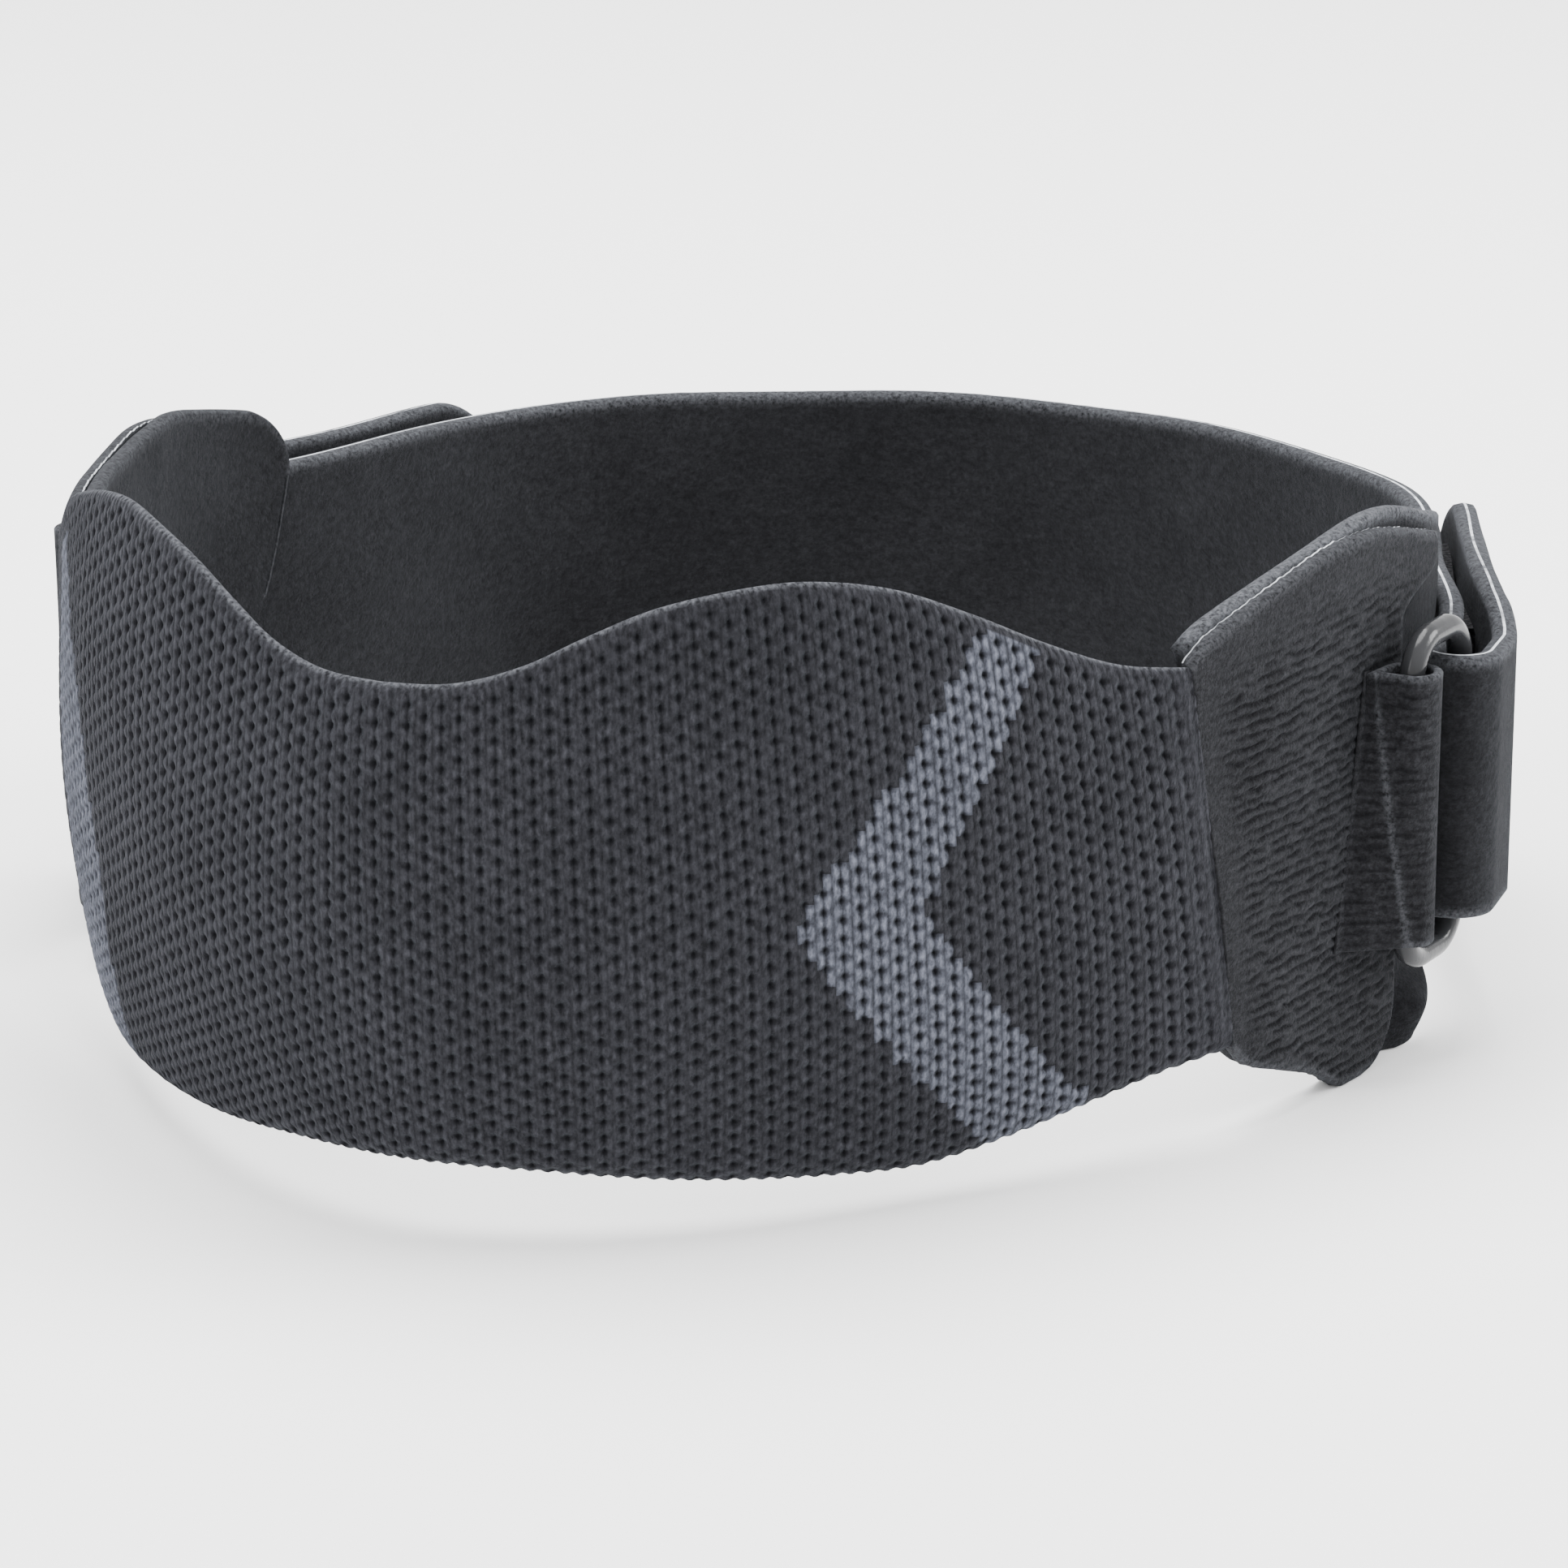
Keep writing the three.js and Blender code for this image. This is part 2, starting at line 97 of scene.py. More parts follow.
# Layers of a cut cloth from its inner face to its outer face, as shares of the thickness
CLOTH_LAYERS = (0, 0.12, 0.4, 0.6, 0.88, 1)
WING_LAYERS = (0, 0.13, 0.4, 0.65, 0.88, 1)
STRAP_LAYERS = (0, 0.12, 0.44, 0.55, 0.88, 1)
FLAP_LAYERS = (0, 0.1, 0.42, 0.54, 0.85, 1)

# Pointed bands, counted in stitches, on the right and the left half of the pad: the row of the tip,
# the front and the rear edge there, and how far each edge runs back for a row over or under it
BANDS = {
    "tip_row": (16.2, 13),
    "front": (22.3, 27.9),
    "front_over": (0.83, 0.12),
    "front_under": (-0.7, 0.35),
    "rear": (29.4, 37),
    "rear_over": (0.66, 0.2),
    "rear_under": (-0.7, 0.1),
}

# Row over which the left band bends back further, and by how many columns a row
LEFT_BEND_ROW, LEFT_BEND = 23, 0.6

# Where the bands end: a column, the row there, and how many rows lower for each column further away
BAND_END_COLUMN, BAND_END_ROW, BAND_END_SLOPE = 34, 30.6, 0.44

# Slope that turns a place in stitches into a crisp edge
CRISP = 50

# Share of the pad's thickness that its outer relief reaches round the rim
OUTER_SHARE = 0.3

# Fine relief: height of the knit's legs and of the ripple at the low edge, and the seam's groove
LEG_HEIGHT = 0.09 * MM
RIPPLE_HEIGHT = 0.12 * MM
SEAM_DEPTH = 0.06 * MM
SEAM_WIDTH = 0.7 * MM

# Level of the rib pattern where a cloth has no ribs
PLAIN_RIBS = 0.82

# How far the slanting edge over a tab lies from the tab's end: at its top, and more at its bottom
SEWN_EDGE = 0.9 * MM
SEWN_EDGE_SPREAD = 6.2 * MM

# Studio: strength of the white surroundings, and each softbox's place, width and power
SURROUNDINGS = 2.1
SOFTBOXES = {
    "top_softbox": ((-0.1, 0.15, 0.9), 0.8, 19),
    "front_softbox": ((-0.6, -0.9, 0.6), 0.7, 7.5),
    "rear_softbox": ((0.8, 0.5, 0.5), 0.5, 9.5),
}
LIT_POINT = (0, 0, 0.03)
FLOOR_WIDTH = 6

# Camera: the point it looks at, where it stands from there, and its lens
CAMERA_AIM = (-0.00006, 0.00948, 0.01619)
CAMERA_AZIMUTH = math.radians(22.5)
CAMERA_ELEVATION = math.radians(16.93)
CAMERA_DISTANCE = 0.5731
CAMERA_LENS = 130.44
CAMERA_SENSOR = 36


def length(name, description, default):
    """A length, its default given in millimetres"""
    return bpy.props.FloatProperty(
        name=name, description=description, default=default * MM, unit="LENGTH", precision=5
    )


def colour(name, description, default):
    """A linear colour"""
    return bpy.props.FloatVectorProperty(
        name=name, description=description, default=default, subtype="COLOR", min=0, max=1
    )


def share(name, description, default):
    """A plain number"""
    return bpy.props.FloatProperty(name=name, description=description, default=default)


class StrapLoopSizes(bpy.types.PropertyGroup):
    """Loop seen from above, two half ovals that meet at the widest place"""

    half_width: length("Half width", "Half the width of the loop", 68.7)
    front_depth: length("Front depth", "From the widest place to the front", 92)
    back_depth: length("Back depth", "From the widest place to the back", 71.8)
    front_fullness: share("Front fullness", "Power of the front half oval", 1.77)
    back_fullness: share("Back fullness", "Power of the back half oval", 1.92)


class StrapPadSizes(bpy.types.PropertyGroup):
    """Knitted pad"""

    half_length: length("Half length", "From the middle of the pad to a seam", 85)
    height: length("Height", "Height of the pad at its peaks", 55.7)
    lift: length("Lift", "Height of the lowest edge over the surface", 3.1)
    thickness: length("Thickness", "Thickness of the pad in the middle", 8.5)
    seam_slant: length("Seam slant", "How far the top of a seam lies nearer the middle", 7)
    low_crown: length("Low crown", "How far the low edge leans in", 3.6)
    high_crown: length("High crown", "How far the top edge leans in", 1.6)
    crown_level: share("Crown level", "Level where the pad stands out most", 0.55)
    stitch_width: length("Stitch width", "Distance between two columns in the middle", 1.67)
    stitch_height: length("Stitch height", "Distance between two rows over the low edge", 1.75)
    widening: share("Widening", "How much wider the columns are at the seams", 0.28)
    pull_height: length("Pull height", "Height below which the rows lie closer together", 22)
    pull: share("Pull", "How much closer the rows lie at the surface", 0.34)
    pit_depth: length("Pit depth", "Depth of the pits between the stitches", 0.42)
    hem_height: length("Hem", "Height of the finer knit along the top edge", 1.3)
    overlap: length("Overlap", "How far the pad's ends reach past the seams", 0.2)


class StrapWingSizes(bpy.types.PropertyGroup):
    """Ribbed wing, and the soft flap under it"""

    length: length("Wing length", "From the seam to the wing's rear edge", 27.5)
    thickness: length("Wing thickness", "Space that the ribbed layer takes", 1.6)
    drawn_thickness: length("Drawn thickness", "Thickness of the ribbed layer itself", 1.3)
    rear_slant: length("Rear slant", "How far the top of the rear edge lies forward", 1)
    low_corner: length("Low corner", "Radius of the wing's low rear corner", 6.5)
    top_reach: length("Top reach", "How far the wing reaches back over the ring", 8)
    depth: length("Depth", "Height that the bottom outline refers to", 53)
    right_crest: length("Right crest", "Rise of the right wing over its seam", 7.4)
    left_crest: length("Left crest", "Rise of the left wing over its seam", 4.2)
    rib_pitch: length("Rib pitch", "Distance between two ribs", 1.02)
    rib_height: length("Rib height", "How far the ribs stand out", 0.3)
    flap_length: length("Flap length", "From the seam to the flap's round end", 50)
    flap_thickness: length("Flap thickness", "Space that the flap takes", 2.4)
    drawn_flap: length("Drawn flap", "Thickness of the flap itself", 1.7)
    flap_tip: length("Flap tip", "How far the soft end reaches beyond the solid's end", 2.6)
    end_slant: length("End slant", "How far the flap's end runs forward below its top", 6.5)
    flap_end_radius: length("Flap end radius", "Radius of the flap's free corner", 6)
    flap_flare: length("Flap flare", "How far the low edge behind the ring stands out", 4.2)
    flap_proud: length("Flap proud", "Height of the flap over the wing", 1.1)


class StrapRingSizes(bpy.types.PropertyGroup):
    """Plastic ring and the cloth tab that holds it"""

    wire: length("Wire", "Space that the ring's wire takes", 3)
    drawn_wire: length("Drawn wire", "Thickness of the ring itself", 2.4)
    slot_height: length("Slot height", "Clear height inside the ring", 28.2)
    span: length("Span", "Distance between the two upright bars", 10.6)
    corner: length("Corner", "Radius of the ring's corners", 3.8)
    centre_height: length("Centre height", "Height of the ring's middle", 27.1)
    setback: length("Setback", "From the front bar to the wing's rear edge", 5.3)
    tab_thickness: length("Tab thickness", "Thickness of the tab's cloth", 0.9)
    tab_clearance: length("Tab clearance", "Height that the tab leaves free in the slot", 1.8)
    tab_tongue: length("Tab tongue", "Length of the tab's end beyond the ring", 0.8)
    tab_reach: length("Tab reach", "How far the tab reaches over the wing at its top", 2.5)
    tab_spread: length("Tab spread", "How much further it reaches at its bottom", 4)
    tab_cover: length("Tab cover", "Thickness of the cloth sewn over the tab's outer end", 0.45)


class StrapBandSizes(bpy.types.PropertyGroup):
    """Strap that runs round the back and folds back through both rings"""

    height: length("Height", "Height of the strap", 31)
    lift: length("Lift", "Height of its low edge over the surface", 9.6)
    thickness: length("Thickness", "Thickness of the strap", 2.4)
    slot_clearance: length("Slot clearance", "Height that the strap leaves free in the slot", 2.4)
    shoulder_start: length("Shoulder start", "Where the strap starts to widen behind a ring", 5)
    shoulder_length: length("Shoulder length", "Length over which it widens", 9)
    tail_length: length("Tail length", "From the ring to the end of a tail", 56)
    tail_rise: length("Tail rise", "Height of a tail over the run below it", 0.9)
    tail_settling: length("Tail settling", "Length over which a tail comes to lie flat", 16)
    tail_end_radius: length("Tail end radius", "Radius of a tail's corners", 9)
    taut_length: length("Taut length", "Length of the nearly straight run", 62)
    taut_dip: length("Taut dip", "How far that run lies inside the loop", 4.2)
    patch_thickness: length("Patch thickness", "Thickness of the hook patch", 1.2)
    layer_gap: length("Layer gap", "Space between layers", 0.3)
    wrap_gap: length("Wrap gap", "Space round the ring's bars", 0.5)


class StrapColours(bpy.types.PropertyGroup):
    """Colours of the cloths, the ring and the stage"""

    knit: colour("Knit", "Dark yarn of the pad", (0.0185, 0.0187, 0.022))
    chevron: colour("Chevron", "Light yarn of the two bands", (0.057, 0.0605, 0.075))
    # Near-black painted shade at the bottoms of the knit's pits and in the ribbed cloth's furrows
    pit: colour("Pit", "Bottom of the pits between stitches", (0.0035, 0.0036, 0.0045))
    ribbed: colour("Ribbed", "Ribbed cloth of the wings and tabs", (0.0134, 0.0136, 0.0152))
    brushed: colour("Brushed", "Soft cloth of the flaps and the strap", (0.0108, 0.0111, 0.0124))
    # Light grey along cut edges: partly real loose fibres, partly a painted highlight where light
    # catches the rims
    fuzz_and_highlight: colour("Fuzz", "Light fibres along cut edges", (0.1, 0.104, 0.115))
    core: colour("Core", "Pale core that shows in cut edges", (0.5, 0.52, 0.55))
    plastic: colour("Plastic", "Ring", (0.018, 0.0185, 0.02))
    hook: colour("Hook", "Hook patches", (0.005, 0.005, 0.006))
    floor: colour("Floor", "Plain floor", (0.94, 0.94, 0.94))


class StrapSettings(bpy.types.PropertyGroup):
    """Everything that a user would change"""

    loop: bpy.props.PointerProperty(type=StrapLoopSizes, name="Loop", description="Loop sizes")
    pad: bpy.props.PointerProperty(type=StrapPadSizes, name="Pad", description="Pad sizes")
    wing: bpy.props.PointerProperty(type=StrapWingSizes, name="Wing", description="Wing sizes")
    ring: bpy.props.PointerProperty(type=StrapRingSizes, name="Ring", description="Ring sizes")
    band: bpy.props.PointerProperty(type=StrapBandSizes, name="Strap", description="Strap sizes")
    colours: bpy.props.PointerProperty(type=StrapColours, name="Colours", description="Colours")


# Numbers that work on arrays and on shader fields alike


class Field:
    """A number that varies over a surface, worked out by a material's nodes"""

    def __init__(self, tree, socket):
        self.tree = tree
        self.socket = socket

    def math(self, operation, *values):
        node = self.tree.nodes.new("ShaderNodeMath")
        node.operation = operation
        for slot, value in zip(node.inputs, values):
            if isinstance(value, Field):
                self.tree.links.new(value.socket, slot)
            else:
                slot.default_value = value
        return Field(self.tree, node.outputs[0])

    def __add__(self, other):
        return self.math("ADD", self, other)

    def __sub__(self, other):
        return self.math("SUBTRACT", self, other)

    def __rsub__(self, other):
        return self.math("SUBTRACT", other, self)

    def __mul__(self, other):
        return self.math("MULTIPLY", self, other)

    def __truediv__(self, other):
        return self.math("DIVIDE", self, other)

    def __neg__(self):
        return self.math("MULTIPLY", self, -1)

    def __abs__(self):
        return self.math("ABSOLUTE", self)

    __radd__ = __add__
    __rmul__ = __mul__


def sine(x):
    return x.math("SINE", x) if isinstance(x, Field) else np.sin(x)


def floor(x):
    return x.math("FLOOR", x) if isinstance(x, Field) else np.floor(x)


def larger(x, y):
    return x.math("MAXIMUM", x, y) if isinstance(x, Field) else np.maximum(x, y)


def clamped(x):
    if isinstance(x, Field):
        return x.math("MINIMUM", x.math("MAXIMUM", x, 0), 1)
    return np.clip(x, 0, 1)


def bell(x):
    """1 where x is 0, falling off on both sides"""
    return x.math("EXPONENT", -(x * x)) if isinstance(x, Field) else np.exp(-(x * x))


def ease(x):
    c = clamped(x)
    return c * c * (3 - 2 * c)


def ramp(value, start, span):
    """Eases from 0 at the start to 1 at the end of the span"""
    return ease((value - start) / span)


def mix(a, b, t):
    return a + (b - a) * t


def waves(x, y, x_rate, y_rate, x_shift=0, y_shift=0):
    """Product of a wave along x and a wave along y, from -1 to 1"""
    return np.sin(x * x_rate + x_shift) * np.sin(y * y_rate + y_shift)


def column(table, key, along):
    """Column of a table read smoothly between its rows"""
    places = np.array(table["along"], float)
    values = np.array(table[key], float)
    slopes = np.empty_like(values)
    slopes[1:-1] = (values[2:] - values[:-2]) / (places[2:] - places[:-2])
    slopes[0] = (values[1] - values[0]) / (places[1] - places[0])
    slopes[-1] = (values[-1] - values[-2]) / (places[-1] - places[-2])
    at = np.clip(along, places[0], places[-1])
    i = np.clip(np.searchsorted(places, at, side="right") - 1, 0, len(places) - 2)
    width = places[i + 1] - places[i]
    t = (at - places[i]) / width
    t2, t3 = t * t, t * t * t
    return (
        (2 * t3 - 3 * t2 + 1) * values[i]
        + (t3 - 2 * t2 + t) * slopes[i] * width
        + (3 * t2 - 2 * t3) * values[i + 1]
        + (t3 - t2) * slopes[i + 1] * width
    )


# Patterns of the cloths


def knit_cell(columns, rows):
    """Stitch at a place counted in stitches: its column, its row, and the place from its pit"""
    pit_column = floor(columns + 0.5)
    odd = pit_column - 2 * floor(pit_column / 2)
    staggered = rows + odd * 0.5
    across = columns - pit_column
    along = staggered - floor(staggered + 0.5)
    row_centre = floor(staggered) + 0.5 - odd * 0.5
    return pit_column, row_centre, across, along


def knit_pit(across, along):
    """1 at the bottom of a pit, 0 on the stitches"""
    width, height = 0.19, 0.24
    return bell(across / width) * bell(along / height)


def knit_legs(across, along):
    """The two legs of each stitch, from 0 in the grooves to 1 on top"""
    dip, dip_height = 0.72, 0.17
    return sine(abs(across) * TURN) * (1 - dip * bell(along / dip_height))


def pointed_band(stitch_column, stitch_row):
    """1 inside the bands, counted in stitches from the middle and from the surface below"""
    away = abs(stitch_column)
    left = clamped(-stitch_column)
    band = {name: mix(*sides, left) for name, sides in BANDS.items()}
    over_tip = stitch_row - band["tip_row"]
    front_slopes = larger(over_tip * band["front_over"], over_tip * band["front_under"])
    rear_slopes = larger(over_tip * band["rear_over"], over_tip * band["rear_under"])
    bend = left * larger(stitch_row - LEFT_BEND_ROW, 0) * LEFT_BEND
    front_edge = band["front"] + front_slopes + bend
    rear_edge = band["rear"] + rear_slopes
    end_row = BAND_END_ROW - (away - BAND_END_COLUMN) * BAND_END_SLOPE
    sideways = clamped((away - front_edge) * CRISP) * clamped((rear_edge - away) * CRISP)
    return sideways * clamped((end_row - stitch_row) * CRISP)


def wander(distance, height, across, up, seed):
    """Smooth noise over a cloth for places in mm, across and up in bumps per mm"""
    return np.array(
        [noise.noise(Vector((d * across, h * up, seed))) for d, h in zip(distance, height)]
    )


def rib_wave(distance, height, pitch):
    """Short uneven furrows between ribs, from 0 in a furrow to 1 on a rib, for places in mm"""
    slope, sway, sharpness = 0.06, 0.36, 1.7
    coarse = wander(distance, height, across=0.55, up=0.35, seed=3)
    fine = wander(distance, height, across=1.3, up=1, seed=9)
    level = height - slope * distance + sway * (coarse + 0.5 * fine)
    furrows = (0.5 + 0.5 * np.sin(level * (TURN / pitch))) ** sharpness
    breaks = wander(distance, height, across=0.5, up=1.1, seed=17)
    return 1 - furrows * clamped(0.85 + 1.6 * breaks)


# Lines that cloth is bent along


class Line:
    """A line seen from above: distances run along it from its start, offsets go outwards"""

    def __init__(self, points, start=0.0):
        self.points = np.asarray(points, float)
        steps = np.linalg.norm(np.diff(self.points, axis=0), axis=1)
        self.distances = start + np.concatenate([[0], np.cumsum(steps)])
        ahead = np.gradient(self.points, self.distances, axis=0)
        ahead /= np.linalg.norm(ahead, axis=1, keepdims=True)
        self.out = np.stack([ahead[:, 1], -ahead[:, 0]], axis=1)

    def read(self, values, distance):
        return np.stack([np.interp(distance, self.distances, values[:, k]) for k in (0, 1)], axis=-1)

    def place(self, distance, offset):
        outwards = self.read(self.out, distance) * np.expand_dims(offset, -1)
        return self.read(self.points, distance) + outwards


def loop_line(settings):
    """The whole loop, from the back round the left side, the front and the right side"""
    sizes = settings.loop
    angles = np.linspace(-math.pi, math.pi, 2881)
    sines, cosines = np.sin(angles), np.cos(angles)
    front = cosines > 0
    depth = np.where(front, sizes.front_depth, sizes.back_depth)
    power = np.where(front, sizes.front_fullness, sizes.back_fullness)
    across = np.abs(sines / sizes.half_width) ** power
    radius = (across + np.abs(cosines / depth) ** power) ** (-1 / power)
    _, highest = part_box("back_strap")
    shift = highest.y - sizes.back_depth - settings.band.thickness / 2
    points = np.stack([radius * sines, shift - radius * cosines], axis=1)
    line = Line(points)
    return Line(points, start=-line.distances[-1] / 2)


def bar_offset(settings):
    """Distance from the wing's outer face to the middle of the ring's bars"""
    ring, band = settings.ring, settings.band
    return band.layer_gap + ring.tab_thickness + band.wrap_gap + ring.wire / 2


def front_bar_at(settings):
    return settings.pad.half_length + settings.wing.length - settings.ring.setback


def rear_bar_at(settings):
    return front_bar_at(settings) + settings.ring.span


def fold_radius(settings):
    return settings.ring.wire / 2 + settings.band.wrap_gap + settings.band.thickness / 2


def ring_frame(settings, loop):
    """Front bar of the right ring, its direction towards the rear bar, and its outward normal"""
    offset = bar_offset(settings)
    front = loop.place(front_bar_at(settings), offset)
    ahead = loop.place(rear_bar_at(settings), offset) - front
    ahead /= np.linalg.norm(ahead)
    return front, ahead, np.array([ahead[1], -ahead[0]])


def pass_offset(settings, distance):
    """Distance of the strap's inner run from the loop"""
    band = settings.band
    under_bar = bar_offset(settings) - fold_radius(settings)
    along = clamped((distance - rear_bar_at(settings)) / band.taut_length)
    return mix(under_bar, 0, ease(along)) - band.taut_dip * np.sin(math.pi * along) ** 2


def flap_offset(settings, distance):
    """Distance of the flap's middle from the loop"""
    wing, band = settings.wing, settings.band
    half = wing.flap_thickness / 2
    rear = settings.pad.half_length + wing.length
    under_wing = -wing.thickness - band.layer_gap / 2 - half
    under_strap = pass_offset(settings, distance) - band.thickness / 2 - band.layer_gap - half
    return mix(under_wing, under_strap, ease((distance - rear) / (rear_bar_at(settings) - rear)))


def wing_top(settings, side, along):
    pad = settings.pad
    seam_top = pad.lift + pad.height * PAD_OUTLINE["right"][-1]
    crest = getattr(settings.wing, f"{side}_crest")
    return seam_top + crest * column(WING_OUTLINE, side, along)


def wing_bottom(settings, along):
    return np.maximum(0, settings.wing.depth * column(WING_OUTLINE, "bottom", along))


# Modelling helpers


def deselect():
    if bpy.context.mode != "OBJECT":
        bpy.ops.object.mode_set(mode="OBJECT")
    bpy.ops.object.select_all(action="DESELECT")


def new_cloth(name, columns, rows, layers=(0,)):
    """A flat unit sheet cut into columns and rows, built up in layers from 0 to 1"""
    deselect()
    bpy.ops.mesh.primitive_grid_add(
        x_subdivisions=columns, y_subdivisions=rows, size=1, location=(0.5, 0.5, 0)
    )
    piece = bpy.context.object
    piece.name = name
    piece.data.name = name
    bpy.ops.object.transform_apply(location=True)
    bpy.ops.object.mode_set(mode="EDIT")
    bpy.ops.mesh.select_all(action="SELECT")
    for low, high in zip(layers, layers[1:]):
        bpy.ops.mesh.extrude_region_move(TRANSFORM_OT_translate={"value": (0, 0, high - low)})
    bpy.ops.object.mode_set(mode="OBJECT")
    return piece


def coordinates(piece):
    flat = np.empty(len(piece.data.vertices) * 3)
    piece.data.vertices.foreach_get("co", flat)
    return flat.reshape(-1, 3).T


def set_coordinates(piece, plan, height):
    """Moves every vertex to its place seen from above and its height"""
    placed = np.column_stack([plan, height])
    piece.data.vertices.foreach_set("co", placed.ravel())
    piece.data.update()


def set_pattern(piece, across, up):
    """Gives the piece a UV map that holds the pattern's place of every vertex"""
    layer = piece.data.uv_layers.get("pattern") or piece.data.uv_layers.new(name="pattern")
    corners = np.empty(len(piece.data.loops), int)
    piece.data.loops.foreach_get("vertex_index", corners)
    layer.data.foreach_set("uv", np.column_stack([across, up])[corners].ravel())
    for other in [item for item in piece.data.uv_layers if item.name != "pattern"]:
        piece.data.uv_layers.remove(other)


def set_attribute(piece, name, values):
    attribute = piece.data.attributes.new(name, "FLOAT", "POINT")
    attribute.data.foreach_set("value", np.asarray(values, np.float32))


def face_means(piece, values):
    """Mean of a vertex value over each face"""
    return np.array([np.mean(values[list(face.vertices)]) for face in piece.data.polygons])


def close_piece(piece, merge=False):
    """Merges doubled edges, closes open ends and turns the faces outwards"""
    deselect()
    piece.select_set(True)
    bpy.context.view_layer.objects.active = piece
    bpy.ops.object.mode_set(mode="EDIT")
    bpy.ops.mesh.select_all(action="SELECT")
    if merge:
        bpy.ops.mesh.remove_doubles(threshold=0.001 * MM)
        bpy.ops.mesh.select_all(action="DESELECT")
        bpy.ops.mesh.select_mode(type="EDGE")
        bpy.ops.mesh.select_non_manifold()
        bpy.ops.mesh.fill_holes(sides=0)
        bpy.ops.mesh.select_mode(type="VERT")
        bpy.ops.mesh.select_all(action="SELECT")
    bpy.ops.mesh.normals_make_consistent(inside=False)
    bpy.ops.object.mode_set(mode="OBJECT")
    bpy.ops.object.shade_smooth()


def dress(piece, materials, faces=None):
    """Gives the piece its materials; faces holds the slot of each face"""
    piece.data.materials.clear()
    for material in materials:
        piece.data.materials.append(material)
    if faces is not None:
        piece.data.polygons.foreach_set("material_index", faces.astype(int))


def finish_piece(piece, nodes):
    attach(piece, "root")
    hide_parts(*nodes)


def rim_inset(layer, depth):
    """How far an edge lies back at a layer, so that cut edges are round"""
    return depth * (1 - np.sqrt(np.clip(1 - (2 * layer - 1) ** 2, 0, 1)))


# Materials


class Finish:
    """One material, built up from nodes"""

    def __init__(self, name):
        self.material = bpy.data.materials.new(name)
        self.material.use_nodes = True
        self.tree = self.material.node_tree
        self.shader = self.tree.nodes["Principled BSDF"]

    def node(self, kind, **values):
        made = self.tree.nodes.new(kind)
        for key, value in values.items():
            setattr(made, key, value)
        return made

    def link(self, value, socket):
        if isinstance(value, Field):
            value = value.socket
        self.tree.links.new(value, socket)

    def pattern(self):
        """The two numbers of the piece's pattern map"""
        place = self.node("ShaderNodeUVMap", uv_map="pattern")
        split = self.node("ShaderNodeSeparateXYZ")
        self.link(place.outputs[0], split.inputs[0])
        return Field(self.tree, split.outputs[0]), Field(self.tree, split.outputs[1])

    def attribute(self, name):
        made = self.node("ShaderNodeAttribute", attribute_name=name)
        return Field(self.tree, made.outputs["Fac"])

    def noise(self, scale, detail=3.0, roughness=0.6, stretch=(1, 1, 1)):
        """Noise on the object's own coordinates, scale in bumps per metre"""
        place = self.node("ShaderNodeTexCoord")
        mapping = self.node("ShaderNodeMapping")
        mapping.inputs["Scale"].default_value = stretch
        self.link(place.outputs["Object"], mapping.inputs[0])
        made = self.node("ShaderNodeTexNoise")
        made.inputs["Scale"].default_value = scale
        made.inputs["Detail"].default_value = detail
        made.inputs["Roughness"].default_value = roughness
        self.link(mapping.outputs[0], made.inputs["Vector"])
        return Field(self.tree, made.outputs[0])

    def blend(self, factor, first, second):
        """Colour between two colours, each a colour or a socket"""
        made = self.node("ShaderNodeMix", data_type="RGBA")
        self.link(factor, made.inputs["Factor"])
        for slot, value in ((made.inputs[6], first), (made.inputs[7], second)):
            if isinstance(value, bpy.types.NodeSocket):
                self.link(value, slot)
            else:
                slot.default_value = (*value[:3], 1)
        return made.outputs[2]

    def shaded(self, tone, factor):
        """Colour, or a socket that gives one, made lighter or darker by a field around 1"""
        made = self.node("ShaderNodeVectorMath", operation="SCALE")
        if isinstance(tone, bpy.types.NodeSocket):
            self.link(tone, made.inputs[0])
        else:
            made.inputs[0].default_value = tone[:3]
        self.link(factor, made.inputs["Scale"])
        return made.outputs[0]

    def colour(self, tone):
        self.link(tone, self.shader.inputs["Base Color"])

    def bump(self, height, depth):
        """Fine relief, depth in metres between height 0 and 1"""
        made = self.node("ShaderNodeBump")
        made.inputs["Distance"].default_value = depth
        made.inputs["Strength"].default_value = 1
        self.link(height, made.inputs["Height"])
        self.link(made.outputs[0], self.shader.inputs["Normal"])

    def surface(self, roughness, sheen=0.0, tint=(1, 1, 1), specular=0.06):
        """Numbers that are the same all over the surface"""
        self.shader.inputs["Roughness"].default_value = roughness
        self.shader.inputs["Specular IOR Level"].default_value = specular
        self.shader.inputs["Sheen Weight"].default_value = sheen
        self.shader.inputs["Sheen Roughness"].default_value = 0.45
        self.shader.inputs["Sheen Tint"].default_value = (*tint, 1)


def grain(field, contrast):
    """Noise spread out round 1"""
    darkest = 0.15
    return larger((field - 0.5) * contrast + 1, darkest)


def mottled(fibres, clumps, patches):
    """Product of three noises, each given with its contrast"""
    return grain(*fibres) * grain(*clumps) * grain(*patches)


def hairs_and_highlight(fibres, amount, contrast=4.5, bareness=0.3):
    """Light hairs with a painted rim highlight, more of them where there is a larger amount"""
    return clamped(amount * (grain(fibres, contrast) - bareness))


